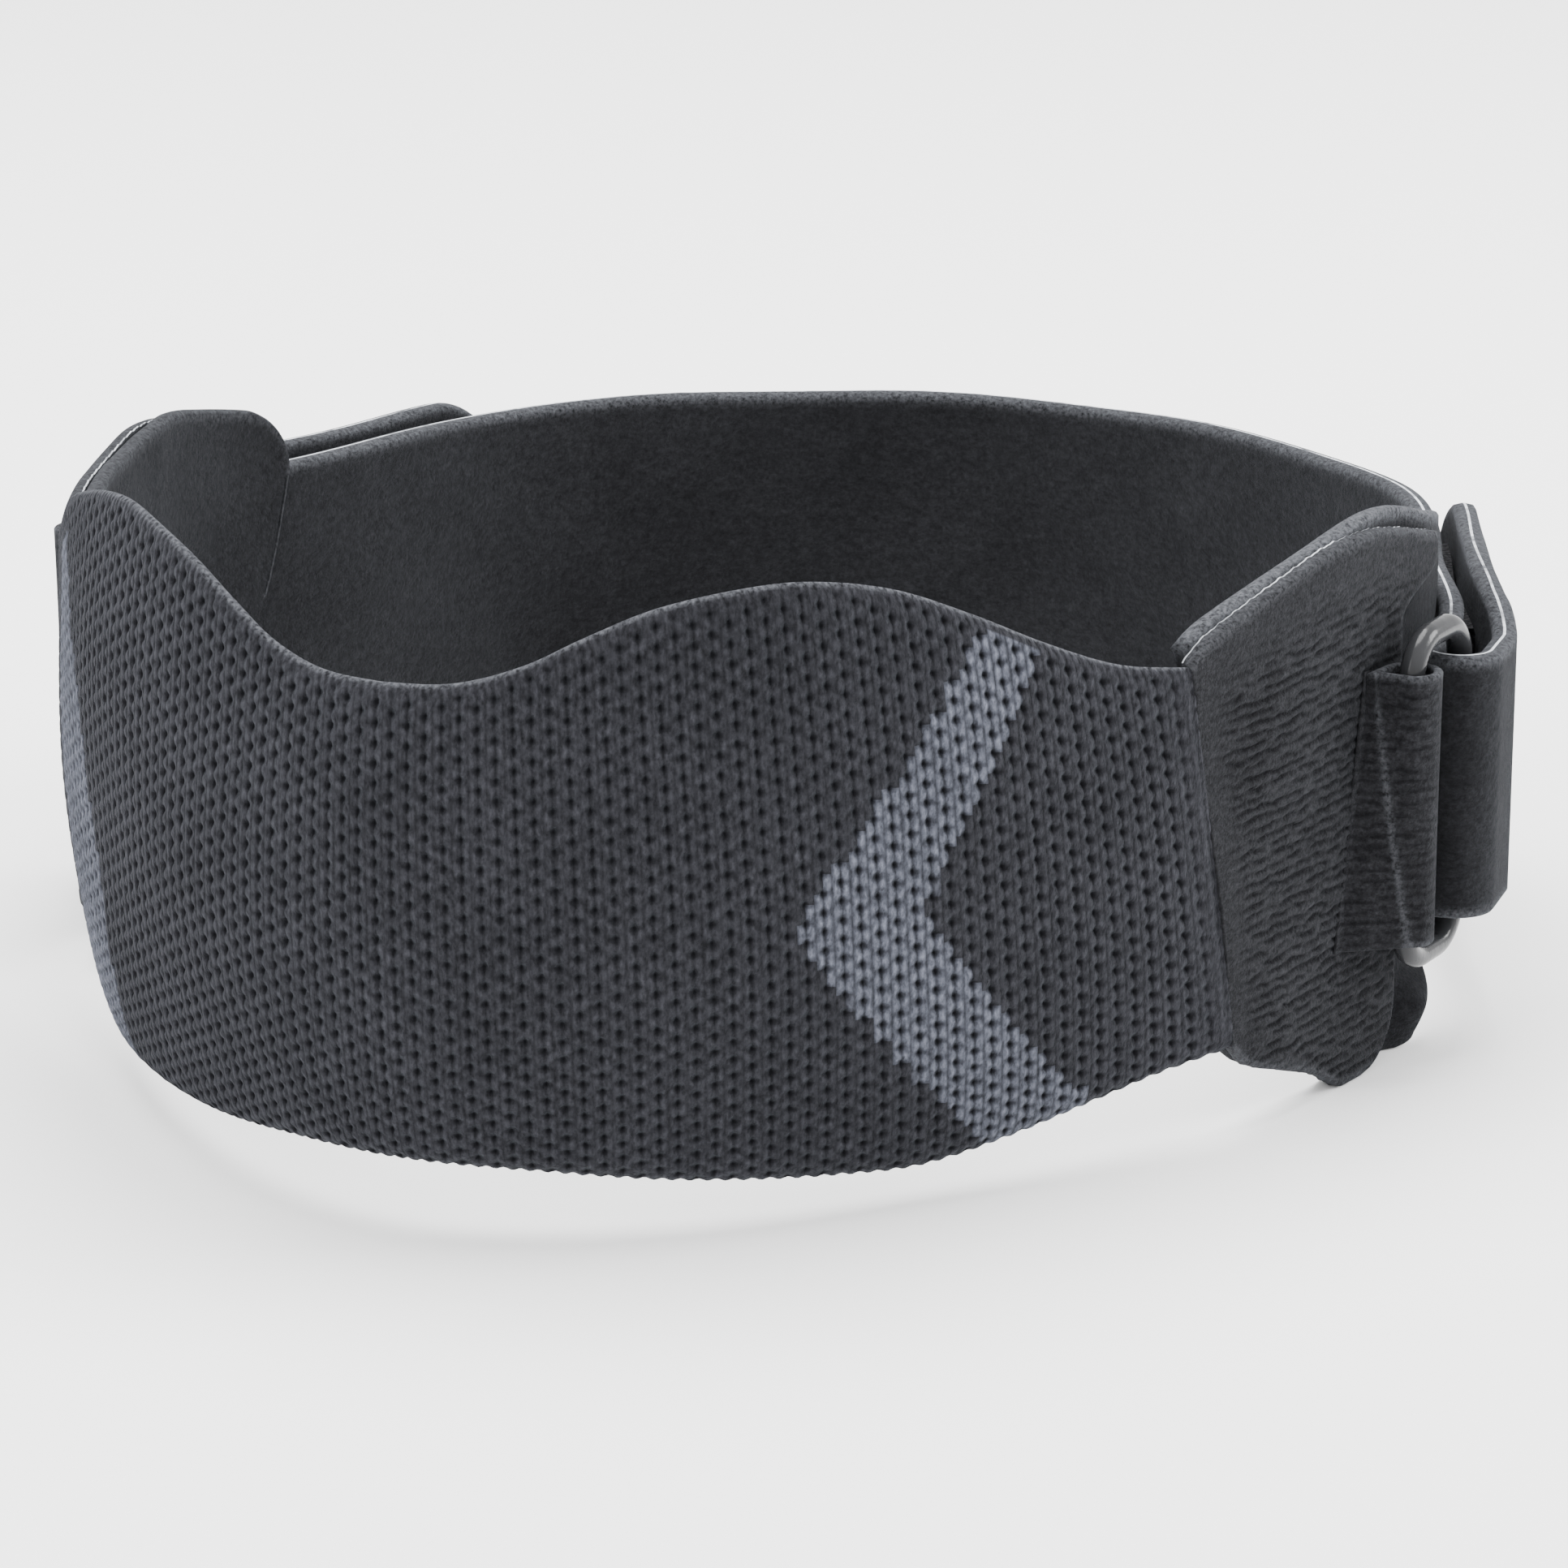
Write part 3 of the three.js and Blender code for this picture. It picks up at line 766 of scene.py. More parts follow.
def knit_finish(settings):
    """Two-tone knit: pairs of legs round staggered pits, with light pointed bands"""
    colours = settings.colours
    finish = Finish("two_tone_knit")
    columns, rows = finish.pattern()
    hem = finish.attribute("hem")
    column_centre, row_centre, across, along = knit_cell(columns, rows)
    rim = finish.attribute("rim")
    open_knit = 1 - hem
    pit = knit_pit(across, along) * open_knit
    legs = knit_legs(across, along) * open_knit
    fine_ribs = (0.5 + 0.5 * sine(columns * TURN * 2)) * hem
    leg_side = clamped(across * CRISP) * 0.5 - 0.25
    light = pointed_band(column_centre + leg_side, row_centre) * clamped(open_knit * 3 - 1)
    fibres = finish.noise(scale=2900, detail=4, stretch=(1, 1, 0.5))
    clumps = finish.noise(scale=1150, detail=2)
    patches = finish.noise(scale=80)
    yarn = finish.blend(light, colours.knit, colours.chevron)
    # Colour follows the relief: painted shade in the grooves between the legs, painted highlight on
    # their tops and on the hem's fine ribs
    shape = 0.72 - light * 0.2 + (0.46 + light * 0.5) * legs + 0.5 * fine_ribs
    tone = mottled((fibres, 2.6), (clumps, 1.1), (patches, 0.7)) * shape
    # Pits painted near-black: painted shade in the hollows between the stitches
    shaded_pits = finish.blend(clamped(pit * 1.05), finish.shaded(yarn, tone), colours.pit)
    # Light fibres along the top rim, partly a painted highlight from the top light
    rim_hairs_and_highlight = hairs_and_highlight(fibres, rim, contrast=4, bareness=0.35)
    finish.colour(finish.blend(rim_hairs_and_highlight, shaded_pits, colours.fuzz_and_highlight))
    finish.surface(roughness=0.95, sheen=0.045, tint=(0.8, 0.87, 1))
    finish.bump(legs * 0.45 + fine_ribs * 0.35 - pit * 1.3 + fibres * 0.9, depth=0.3 * MM)
    return finish.material


def ribbed_finish(settings):
    """Ribbed cloth whose ribs fade out towards its edges"""
    colours = settings.colours
    finish = Finish("ribbed_cloth")
    ribs = finish.attribute("ribs")
    fibres = finish.noise(scale=2500, detail=5, roughness=0.7)
    clumps = finish.noise(scale=900, stretch=(1, 1, 1.8))
    patches = finish.noise(scale=75)
    # Painted shade in the furrows between the ribs: the furrows turn towards the near-black pit colour
    # and the rib tops are lighter
    furrow = clamped(0.95 - ribs * 1.15)
    tone = mottled((fibres, 3), (clumps, 1.7), (patches, 0.8)) * (0.42 + ribs * 0.66)
    yarn = finish.shaded(finish.blend(furrow, colours.ribbed, colours.pit), tone)
    # Light fibres along the cloth's cut edges, partly a painted rim highlight
    edge_hairs_and_highlight = hairs_and_highlight(fibres, finish.attribute("fuzz_and_highlight"))
    finish.colour(finish.blend(edge_hairs_and_highlight, yarn, colours.fuzz_and_highlight))
    finish.surface(roughness=0.95, sheen=0.05, tint=(0.85, 0.9, 1))
    finish.bump(fibres + clumps * 0.9, depth=0.26 * MM)
    return finish.material


def brushed_finish(settings):
    """Soft loop cloth with a short nap"""
    colours = settings.colours
    finish = Finish("brushed_cloth")
    fibres = finish.noise(scale=2300, detail=6, roughness=0.75)
    loops = finish.noise(scale=800, detail=2, stretch=(1, 1, 1.5))
    patches = finish.noise(scale=60)
    tone = mottled((fibres, 2.6), (loops, 1.3), (patches, 0.9))
    # Light fibres along the cloth's cut edges, partly a painted rim highlight
    edge_hairs_and_highlight = hairs_and_highlight(fibres, finish.attribute("fuzz_and_highlight"))
    finish.colour(finish.blend(edge_hairs_and_highlight, finish.shaded(colours.brushed, tone), colours.fuzz_and_highlight))
    finish.surface(roughness=0.97, sheen=0.055, tint=(0.85, 0.9, 1))
    finish.bump(fibres * 0.9 + loops * 1.1, depth=0.28 * MM)
    return finish.material


def core_finish(settings):
    """Pale foam core that shows as a thin line in cut edges"""
    colours = settings.colours
    finish = Finish("foam_core")
    grains = finish.noise(scale=1700, detail=4)
    breaks = finish.noise(scale=420)
    tone = finish.blend(clamped(breaks * 4 - 1.25), colours.fuzz_and_highlight, colours.core)
    finish.colour(finish.shaded(tone, grain(grains, contrast=1.2)))
    finish.surface(roughness=0.85)
    finish.bump(grains, depth=0.1 * MM)
    return finish.material


def plastic_finish(settings):
    """Smooth matt plastic with faint rubbing on it"""
    colours = settings.colours
    finish = Finish("ring_plastic_matt")
    clouds = finish.noise(scale=240, detail=4)
    scuffs = finish.noise(scale=1400, detail=5, stretch=(1, 1, 0.2))
    rubbed = [min(1, value * 1.5) for value in colours.plastic]
    finish.colour(finish.blend(clamped(clouds * 1.5 - 0.3), colours.plastic, rubbed))
    finish.link(0.12 + 0.12 * scuffs, finish.shader.inputs["Roughness"])
    finish.shader.inputs["Specular IOR Level"].default_value = 0.24
    finish.bump(scuffs, depth=0.03 * MM)
    return finish.material


def hook_finish(settings):
    """Stiff hook tape with rows of fine hooks"""
    colours = settings.colours
    finish = Finish("hook_tape")
    cells = finish.node("ShaderNodeTexVoronoi")
    cells.inputs["Scale"].default_value = 1700
    place = finish.node("ShaderNodeTexCoord")
    finish.link(place.outputs["Object"], cells.inputs["Vector"])
    hooks = Field(finish.tree, cells.outputs["Distance"])
    # Painted highlight on the raised hook tips, four times lighter than the tape
    lit_hook_tips = [min(1, value * 4) for value in colours.hook]
    finish.colour(finish.blend(clamped(1 - hooks * 1.6), colours.hook, lit_hook_tips))
    finish.surface(roughness=0.6)
    finish.bump(1 - hooks, depth=0.3 * MM)
    return finish.material


def floor_finish(settings):
    """Plain pale floor"""
    finish = Finish("pale_floor")
    finish.shader.inputs["Base Color"].default_value = (*settings.colours.floor, 1)
    finish.surface(roughness=0.9, specular=0.1)
    return finish.material


FINISHES = {
    "two_tone_knit": knit_finish,
    "ribbed_cloth": ribbed_finish,
    "brushed_cloth": brushed_finish,
    "foam_core": core_finish,
    "ring_plastic_matt": plastic_finish,
    "hook_tape": hook_finish,
    "pale_floor": floor_finish,
}


def material(settings, name):
    """A material by name, made when it is first asked for"""
    return bpy.data.materials.get(name) or FINISHES[name](settings)


# Pieces


def pad_section(rows):
    """Levels and depths going once round the pad, closer together on the outer face"""
    rough_size = np.array([52.0, 8.5])
    outer_depth, inner_effort, fineness = 0.32, 0.16, 40
    knots = np.array(PAD_SECTION + PAD_SECTION[:1])
    dense = []
    count = len(PAD_SECTION)
    for i in range(count):
        before, a, b, after = (knots[(i + k) % count] for k in (-1, 0, 1, 2))
        for t in np.linspace(0, 1, fineness, endpoint=False):
            pull = 0.5 * t * (b - before)
            bend = t * t * (before - 2.5 * a + 2 * b - 0.5 * after)
            twist = t**3 * (1.5 * (a - b) + 0.5 * (after - before))
            dense.append(a + pull + bend + twist)
    dense = np.array(dense + dense[:1])
    steps = np.linalg.norm(np.diff(dense * rough_size, axis=0), axis=1)
    outside = dense[:-1, 1] < outer_depth
    effort = np.concatenate([[0], np.cumsum(steps * np.where(outside, 1.0, inner_effort))])
    wanted = np.linspace(0, effort[-1], rows + 1)
    return np.interp(wanted, effort, dense[:, 0]), np.interp(wanted, effort, dense[:, 1])


def add_pad(settings):
    """Knitted pad, thick in the middle and thin at its seams"""
    sizes, wing, band = settings.pad, settings.wing, settings.band
    columns, rows = 472, 200
    swell_height, seam_knit, low_share = 0.25 * MM, 0.25, 0.03
    piece = new_cloth("knitted_pad", columns, rows)
    u, v, _ = coordinates(piece)
    levels, depths = pad_section(rows)
    level = np.interp(v * rows, np.arange(rows + 1), levels)
    depth = np.interp(v * rows, np.arange(rows + 1), depths)
    along = 2 * u - 1
    away = np.abs(along)
    low = sizes.lift + sizes.height * column(PAD_OUTLINE, "bottom", away)
    top = np.where(along < 0, column(PAD_OUTLINE, "left", away), column(PAD_OUTLINE, "right", away))
    high = sizes.lift + sizes.height * top
    fullness = 1 - away**5
    seam_thickness = wing.thickness + band.layer_gap + wing.flap_thickness
    thickness = mix(seam_thickness, sizes.thickness, fullness)
    below = clamped((sizes.crown_level - level) / sizes.crown_level)
    above = clamped((level - sizes.crown_level) / (1 - sizes.crown_level))
    lean = (sizes.low_crown * below**2 + sizes.high_crown * above**2) * fullness
    height = mix(low, high, level)
    outer = clamped(1 - depth / OUTER_SHARE)
    hem = ramp(height, high - sizes.hem_height, 0.6 * sizes.hem_height)
    stitch_columns = along * (1 - sizes.widening * away**2 / 3) * sizes.half_length / sizes.stitch_width
    pulled = sizes.pull_height * clamped(1 - height / sizes.pull_height) ** 2 / 2
    stitch_rows = (height - sizes.pull * pulled) / sizes.stitch_height
    _, _, across, up = knit_cell(stitch_columns, stitch_rows)
    from_seam = (1 - away) * sizes.half_length
    open_knit = (1 - hem) * mix(seam_knit, 1, ramp(from_seam, 0, 5 * MM))
    pits = knit_pit(across, up) * open_knit
    fine = 0.5 + 0.5 * np.sin(stitch_columns * 2 * TURN)
    legs = knit_legs(across, up) * open_knit
    relief = outer * (LEG_HEIGHT * (fine * hem + legs) - sizes.pit_depth * pits)
    swell = swell_height * waves(stitch_columns, stitch_rows, 0.21, 0.3, x_shift=1)
    seam = SEAM_DEPTH * bell(from_seam / SEAM_WIDTH)
    offset = -lean * (1 - depth) - thickness * depth + relief + outer * (swell * fullness - seam)
    place = along * (sizes.half_length + sizes.overlap - sizes.seam_slant * level)
    plan = loop_line(settings).place(place, offset)
    low_edge = clamped(1 - level / low_share)
    ripple = RIPPLE_HEIGHT * np.sin(stitch_columns * TURN) * low_edge
    set_coordinates(piece, plan, height + ripple)
    set_pattern(piece, stitch_columns, stitch_rows)
    set_attribute(piece, "hem", clamped(1 - open_knit + (depth > OUTER_SHARE)))
    # Light fibres along the pad's top rim, partly a painted highlight where the top light falls on the
    # rim
    top_fibres_and_highlight = bell((level - 0.999) / 0.004) * clamped(1.25 - depth / OUTER_SHARE)
    set_attribute(piece, "rim", 0.7 * top_fibres_and_highlight)
    close_piece(piece, merge=True)
    dress(piece, [material(settings, "two_tone_knit")])
    finish_piece(piece, ["knit_pad"])


def add_wing(settings, side, loop):
    """Ribbed outer layer from the seam to its rear edge under the ring"""
    sizes, pad = settings.wing, settings.pad
    sign = SIDES[side]
    piece = new_cloth(f"ribbed_wing_{side}", 124, 190, WING_LAYERS)
    u, v, layer = coordinates(piece)
    seam_gap, rounding = 0.1 * MM, 0.35 * MM
    reach_from, reach_over = 44 * MM, 7 * MM
    start = pad.half_length + seam_gap
    nominal = v * sizes.depth
    low_corner = clamped(1 - nominal / sizes.low_corner)
    reach = sizes.length - sizes.low_corner * (1 - np.sqrt(1 - low_corner**2))
    reach += sizes.top_reach * ramp(nominal, reach_from, reach_over)
    base = start + (reach - seam_gap) * u
    along = (base - pad.half_length) / sizes.flap_length
    ragged = 0.1 * MM * waves(base, base, 5200, 1700, y_shift=1)
    inset = rim_inset(layer, rounding) * (layer > 0.5) + ragged * (layer < 0.2)
    low = wing_bottom(settings, along) + inset
    high = wing_top(settings, side, along) - inset
    height = mix(low, high, v)
    slant = mix(pad.seam_slant, sizes.rear_slant, u)
    distance = base - slant * v - inset * clamped((u - 0.98) / 0.02)
    from_seam = distance + pad.seam_slant * v - pad.half_length
    from_top = (1 - v) * (high - low)
    strength = ramp(from_seam, 0.5 * MM, 5 * MM) * ramp(from_top, 1.5 * MM, 7 * MM)
    mm_distance, mm_height = distance / MM, height / MM
    wave = rib_wave(mm_distance, mm_height, sizes.rib_pitch / MM)
    body = 0.24 * MM * waves(mm_distance, mm_height, 0.35, 0.21, x_shift=1)
    rim = np.minimum(np.minimum(height - low, from_top), (1 - u) * reach)
    edge = clamped(rim / (0.8 * MM))
    seam = SEAM_DEPTH * bell((base - start) / SEAM_WIDTH)
    ribbing = sizes.rib_height * (wave - 0.8) * strength
    relief = (layer > 0.99) * ((ribbing + body) * edge - seam)
    offset = (layer - 1) * sizes.drawn_thickness + relief
    set_coordinates(piece, loop.place(sign * distance, offset), height)
    set_pattern(piece, mm_distance, mm_height)
    set_attribute(piece, "ribs", mix(PLAIN_RIBS, wave, strength))
    # Light fibres along the wing's rims, partly a painted highlight that is stronger on the lit right
    # side
    set_attribute(piece, "fuzz_and_highlight", bell(rim / (0.55 * MM)) * RIM_FIBRES_AND_HIGHLIGHT[side]["wing"])
    close_piece(piece)
    core = (face_means(piece, layer) < 0.1) & (face_means(piece, v) > 0.999)
    dress(piece, [material(settings, "ribbed_cloth"), material(settings, "foam_core")], core)
    finish_piece(piece, [f"wing_{side}"])


def add_flap(settings, side, loop):
    """Soft flap that lies against the leg, from the seam to its round end behind the ring"""
    sizes, pad, band = settings.wing, settings.pad, settings.band
    sign = SIDES[side]
    piece = new_cloth(f"lining_flap_{side}", 120, 110, FLAP_LAYERS)
    u, v, layer = coordinates(piece)
    seam_gap, rounding = 0.25 * MM, 0.45 * MM
    slant_from, slant_over = 44 * MM, 17 * MM
    start = pad.half_length + seam_gap
    end = pad.half_length + sizes.flap_length + sizes.flap_tip
    inset = rim_inset(layer, rounding)
    base = mix(start, end, np.sin(u * math.pi / 2) ** 0.9)
    along = (base - pad.half_length) / (sizes.flap_length + sizes.flap_tip)
    into_end = clamped((base - end + sizes.flap_end_radius) / sizes.flap_end_radius)
    drop = sizes.flap_end_radius * (1 - np.sqrt(1 - into_end**2))
    low = wing_bottom(settings, along)
    proud = sizes.flap_proud * PROUD[side]
    high = np.maximum(wing_top(settings, side, along) + proud - drop, low + 3 * MM)
    low, high = low + inset, high - inset
    height = mix(low, high, 0.5 - 0.5 * np.cos(math.pi * v))
    rear = pad.half_length + sizes.length
    behind = ramp(base, rear, rear_bar_at(settings) - rear)
    free_height = band.lift - 1.5 * MM
    free = clamped(1 - low / free_height)
    hang = clamped(1 - (height - low) / np.maximum(free_height - low, sizes.flap_thickness))
    flare = sizes.flap_flare * free * behind * ease(hang * 1.6) * (1 - 0.5 * hang**2)
    below_top = clamped((slant_from - height) / slant_over)
    end_slant = sizes.end_slant * below_top**1.6 * ramp(along, 0.5, 0.5)
    distance = base - pad.seam_slant * v * clamped(1 - along * 3) - end_slant
    faces = (layer > 0.99) | (layer < 0.01)
    body = 0.2 * MM * waves(distance, height, 320, 240, y_shift=1) * faces
    outer_face = flap_offset(settings, base) + sizes.flap_thickness / 2
    under_wing = -sizes.drawn_thickness - 0.05 * MM
    outer_face = mix(under_wing, outer_face, ramp(base, rear - 4 * MM, 6 * MM))
    offset = outer_face + flare + (layer - 1) * sizes.drawn_flap + body
    set_coordinates(piece, loop.place(sign * (distance - inset * (u > 0.999)), offset), height)
    set_pattern(piece, distance / MM, height / MM)
    rim = np.minimum(high - height, (end - base) * 2)
    # Light fibres along the flap's rims, partly a painted highlight that is stronger on the lit right
    # side
    set_attribute(piece, "fuzz_and_highlight", bell(rim / (0.8 * MM)) * RIM_FIBRES_AND_HIGHLIGHT[side]["flap"])
    close_piece(piece)
    middle = face_means(piece, layer)
    core = (middle > 0.45) & (middle < 0.52) & (face_means(piece, u) > 0.88)
    materials = [material(settings, "brushed_cloth"), material(settings, "foam_core")]
    dress(piece, materials, core)
    finish_piece(piece, [f"flap_{side}"])


def add_ring(settings, side, loop):
    """Plastic ring: a torus drawn out to a rounded rectangle, stood upright beside the wing"""
    sizes = settings.ring
    deselect()
    turns, sides = 64, 28
    bpy.ops.mesh.primitive_torus_add(
        major_segments=turns,
        minor_segments=sides,
        major_radius=sizes.corner,
        minor_radius=sizes.drawn_wire / 2,
        rotation=(0, 0, math.pi / turns),
    )
    piece = bpy.context.object
    piece.name = f"plastic_ring_{side}"
    piece.data.name = piece.name
    bpy.ops.object.transform_apply(rotation=True)
    x, y, z = coordinates(piece)
    half_height = (sizes.slot_height + sizes.wire) / 2
    along = x + np.sign(x) * (sizes.span / 2 - sizes.corner) + sizes.span / 2
    height = sizes.centre_height + y + np.sign(y) * (half_height - sizes.corner)
    front, ahead, out = ring_frame(settings, loop)
    plan = front + np.outer(along, ahead) + np.outer(z, out)
    plan[:, 0] *= SIDES[side]
    set_coordinates(piece, plan, height)
    set_pattern(piece, along / MM, height / MM)
    close_piece(piece)
    dress(piece, [material(settings, "ring_plastic_matt")])
    finish_piece(piece, [f"ring_{side}"])


def tab_line(settings, loop, last_angle, reach):
    """Line of the tab: under the ring's front bar, round it to an angle and down to the wing"""
    ring, band = settings.ring, settings.band
    front, ahead, out = ring_frame(settings, loop)
    radius = ring.wire / 2 + band.wrap_gap + ring.tab_thickness / 2
    on_wing = band.layer_gap + ring.tab_thickness / 2
    bar_at = front_bar_at(settings)
    tip = bar_at - radius - ring.tab_tongue
    points = [loop.place(place, on_wing) for place in (tip, (tip + bar_at) / 2)]
    for angle in np.linspace(-math.pi / 2, last_angle, 40):
        points.append(front + ahead * radius * math.cos(angle) + out * radius * math.sin(angle))
    for further, offset in ((0, 0.2 * MM), (0.8 * MM, 0.08 * MM)):
        points.append(loop.place(bar_at - reach - further, offset))
    return Line(np.array(points))


def add_tab(settings, side, loop):
    """Ribbed cloth tab that holds the ring's front bar, its outer end sewn down under a slanting edge"""
    sizes = settings.ring
    reaches = (sizes.tab_reach, sizes.tab_reach + sizes.tab_spread)
    leaving_angles = (math.radians(152), math.radians(118))
    short_line, long_line = (
        tab_line(settings, loop, angle, reach) for angle, reach in zip(leaving_angles, reaches)
    )
    piece = new_cloth(f"ring_loop_{side}", 72, 104, CLOTH_LAYERS)
    u, v, layer = coordinates(piece)
    half = (sizes.slot_height - sizes.tab_clearance) / 2
    rounding, face_width = 0.25 * MM, 16
    plain, ribbed = 0.86, 0.6
    inset = rim_inset(layer, rounding)
    low = sizes.centre_height - half + inset
    high = sizes.centre_height + half - inset
    height = mix(low, high, v)
    cut = 1 - v
    lengths = [line.distances[-1] for line in (short_line, long_line)]
    end = (1 - u) * mix(lengths[0], lengths[1], cut)
    from_bar = end - mix(reaches[0], reaches[1], cut)
    places = (front_bar_at(settings) + from_bar) / MM
    wave = rib_wave(places, height / MM, settings.wing.rib_pitch / MM)
    edge = clamped(np.minimum(height - low, high - height) / (0.6 * MM))
    crease = 0.1 * MM * np.sin(height * 900) * bell((u - 0.62) / 0.2)
    past_edge = end - SEWN_EDGE - SEWN_EDGE_SPREAD * cut
    covered = ramp(-past_edge, 0, 0.35 * MM) * ramp(end, 0, 2 * MM)
    ribbing = settings.wing.rib_height * 0.45 * (wave - 0.8)
    relief = (layer > 0.99) * (ribbing * edge + crease * edge + sizes.tab_cover * covered)
    thin = mix(0.16, 1, ramp(end, 0, 2.4 * MM))
    offset = (layer - 0.5) * sizes.tab_thickness * thin + relief
    plan = mix(
        short_line.place(u * lengths[0], offset),
        long_line.place(u * lengths[1], offset),
        cut[:, np.newaxis],
    )
    plan[:, 0] *= SIDES[side]
    set_coordinates(piece, plan, height)
    set_pattern(piece, u * face_width, height / MM)
    set_attribute(piece, "ribs", mix(plain, wave, edge * ribbed))
    rim = np.minimum(height - low, high - height)
    uncovered = clamped(past_edge / (0.5 * MM))
    sewn_edge = bell(past_edge / (0.4 * MM)) * ramp(end, 0, MM)
    # Light fibres along the tab's rims and its slanting sewn edge, partly a painted highlight along that
    # edge
    fibres = bell(rim / (0.3 * MM)) * 0.4 * uncovered + sewn_edge * 0.32
    set_attribute(piece, "fuzz_and_highlight", fibres)
    close_piece(piece)
    dress(piece, [material(settings, "ribbed_cloth")])
    finish_piece(piece, [f"ring_tab_{side}"])
    flat_length = mix(lengths[0], lengths[1], float(np.mean(cut)))


def strap_half(settings, loop):
    """Right half of the strap's line from the middle of the back, with what varies along it"""
    band = settings.band
    rear = rear_bar_at(settings)
    girth = loop.distances[-1]
    stack = band.thickness + 2 * band.layer_gap + band.patch_thickness
    inner_count, fold_count, tail_count = 400, 40, 200
    inner = np.linspace(girth, rear + band.shoulder_start, inner_count)
    points = list(loop.place(inner, pass_offset(settings, inner)))
    _, ahead, out = ring_frame(settings, loop)
    bar = loop.place(front_bar_at(settings), bar_offset(settings)) + ahead * settings.ring.span
    radius = fold_radius(settings)
    for angle in np.linspace(-math.pi / 2, math.pi / 2, fold_count):
        points.append(bar - ahead * radius * math.cos(angle) + out * radius * math.sin(angle))
    tail = np.linspace(rear + band.shoulder_start, rear + band.tail_length, tail_count)
    settle = ease((tail - rear) / band.tail_settling)
    over = pass_offset(settings, tail) + mix(2 * radius, stack, settle)
    points.extend(loop.place(tail, over))
    places = np.concatenate([inner, np.full(fold_count, rear), tail])
    is_tail = np.concatenate([np.zeros(inner_count + fold_count), np.ones(tail_count)])
    return np.array(points), places, is_tail


def add_strap(settings, loop):
    """Strap: one band from the left tail round the left ring, the back and the right ring"""
    band, ring = settings.band, settings.ring
    points, places, is_tail = strap_half(settings, loop)
    mirrored = points[:0:-1] * (-1, 1)
    line = Line(np.concatenate([mirrored, points]))
    places = np.concatenate([places[:0:-1], places])
    is_tail = np.concatenate([is_tail[:0:-1], is_tail])
    piece = new_cloth("leg_strap", 560, 48, STRAP_LAYERS)
    u, v, layer = coordinates(piece)
    total = line.distances[-1]
    rounding = 0.55 * MM
    inset = rim_inset(layer, rounding)
    distance = mix(0, total, u)
    place = np.interp(distance, line.distances, places)
    tail = np.interp(distance, line.distances, is_tail)
    rear = rear_bar_at(settings)
    narrow = 1 - ramp(place, rear + band.shoulder_start, band.shoulder_length)
    slot_low = ring.centre_height - ring.slot_height / 2 + band.slot_clearance / 2
    slot_high = slot_low + ring.slot_height - band.slot_clearance
    radius = band.tail_end_radius
    from_end = np.minimum(distance, total - distance)
    into_end = clamped(1 - from_end / radius)
    drop = radius * (1 - np.sqrt(np.clip(1 - into_end**2, 0, 1)))
    rise = band.tail_rise * tail * (1 - narrow)
    waver = 0.12 * MM * np.sin(distance * 190) * (1 - narrow)
    low = mix(band.lift, slot_low, narrow) + drop + rise + inset
    high = mix(band.lift + band.height, slot_high, narrow) - drop + rise - inset + waver
    height = mix(low, high, v)
    faces = ((layer > 0.99) | (layer < 0.01)) * (1 - narrow)
    body = 0.16 * MM * waves(distance, height, 260, 330) * clamped(from_end / (8 * MM))
    offset = (layer - 0.5) * band.thickness + body * faces
    set_coordinates(piece, line.place(distance, offset), height)
    set_pattern(piece, distance / MM, height / MM)
    rim = np.minimum(np.minimum(high - height, height - low), from_end)
    # Light fibres along the strap's rims and ends, partly a painted rim highlight
    set_attribute(piece, "fuzz_and_highlight", bell(rim / (0.5 * MM)) * 0.5)
    close_piece(piece)
    middle = face_means(piece, layer)
    core = (middle > 0.45) & (middle < 0.54)
    dress(piece, [material(settings, "brushed_cloth"), material(settings, "foam_core")], core)
    finish_piece(piece, ["back_strap"])


# Operators


class STRAP_OT_add_pad(bpy.types.Operator):
    """Model the knitted pad with its pits, hem and pointed bands"""

    bl_idname = "strap.add_pad"
    bl_label = "Knitted pad"

    def execute(self, context):
        add_pad(context.scene.strap_settings)
        return {"FINISHED"}


class STRAP_OT_add_wings(bpy.types.Operator):
    """Model both ribbed wings and the soft flaps under them"""

    bl_idname = "strap.add_wings"
    bl_label = "Wings and flaps"

    def execute(self, context):
        settings = context.scene.strap_settings
        loop = loop_line(settings)
        for side in SIDES:
            add_flap(settings, side, loop)
            add_wing(settings, side, loop)
        return {"FINISHED"}


class STRAP_OT_add_rings(bpy.types.Operator):
    """Model both plastic rings and the cloth tabs that hold them"""

    bl_idname = "strap.add_rings"
    bl_label = "Rings and tabs"

    def execute(self, context):
        settings = context.scene.strap_settings
        loop = loop_line(settings)
        for side in SIDES:
            add_ring(settings, side, loop)
            add_tab(settings, side, loop)
        return {"FINISHED"}


class STRAP_OT_add_strap(bpy.types.Operator):
    """Model the strap with its two tails, and finish the hook patches"""

    bl_idname = "strap.add_strap"
    bl_label = "Strap and hook patches"

    def execute(self, context):
        settings = context.scene.strap_settings
        add_strap(settings, loop_line(settings))
        for side in SIDES:
            dress(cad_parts[f"hook_patch_{side}"], [material(settings, "hook_tape")])
        return {"FINISHED"}


def add_softbox(name, place, width, power):
    """A round soft light that points at the strap"""
    light = bpy.data.lights.new(name, "AREA")
    light.shape = "DISK"
    light.size = width
    light.energy = power
    lamp = bpy.data.objects.new(name, light)
    bpy.context.scene.collection.objects.link(lamp)
    lamp.location = place
    lamp.rotation_mode = "QUATERNION"
    lamp.rotation_quaternion = (Vector(LIT_POINT) - Vector(place)).to_track_quat("-Z", "Y")


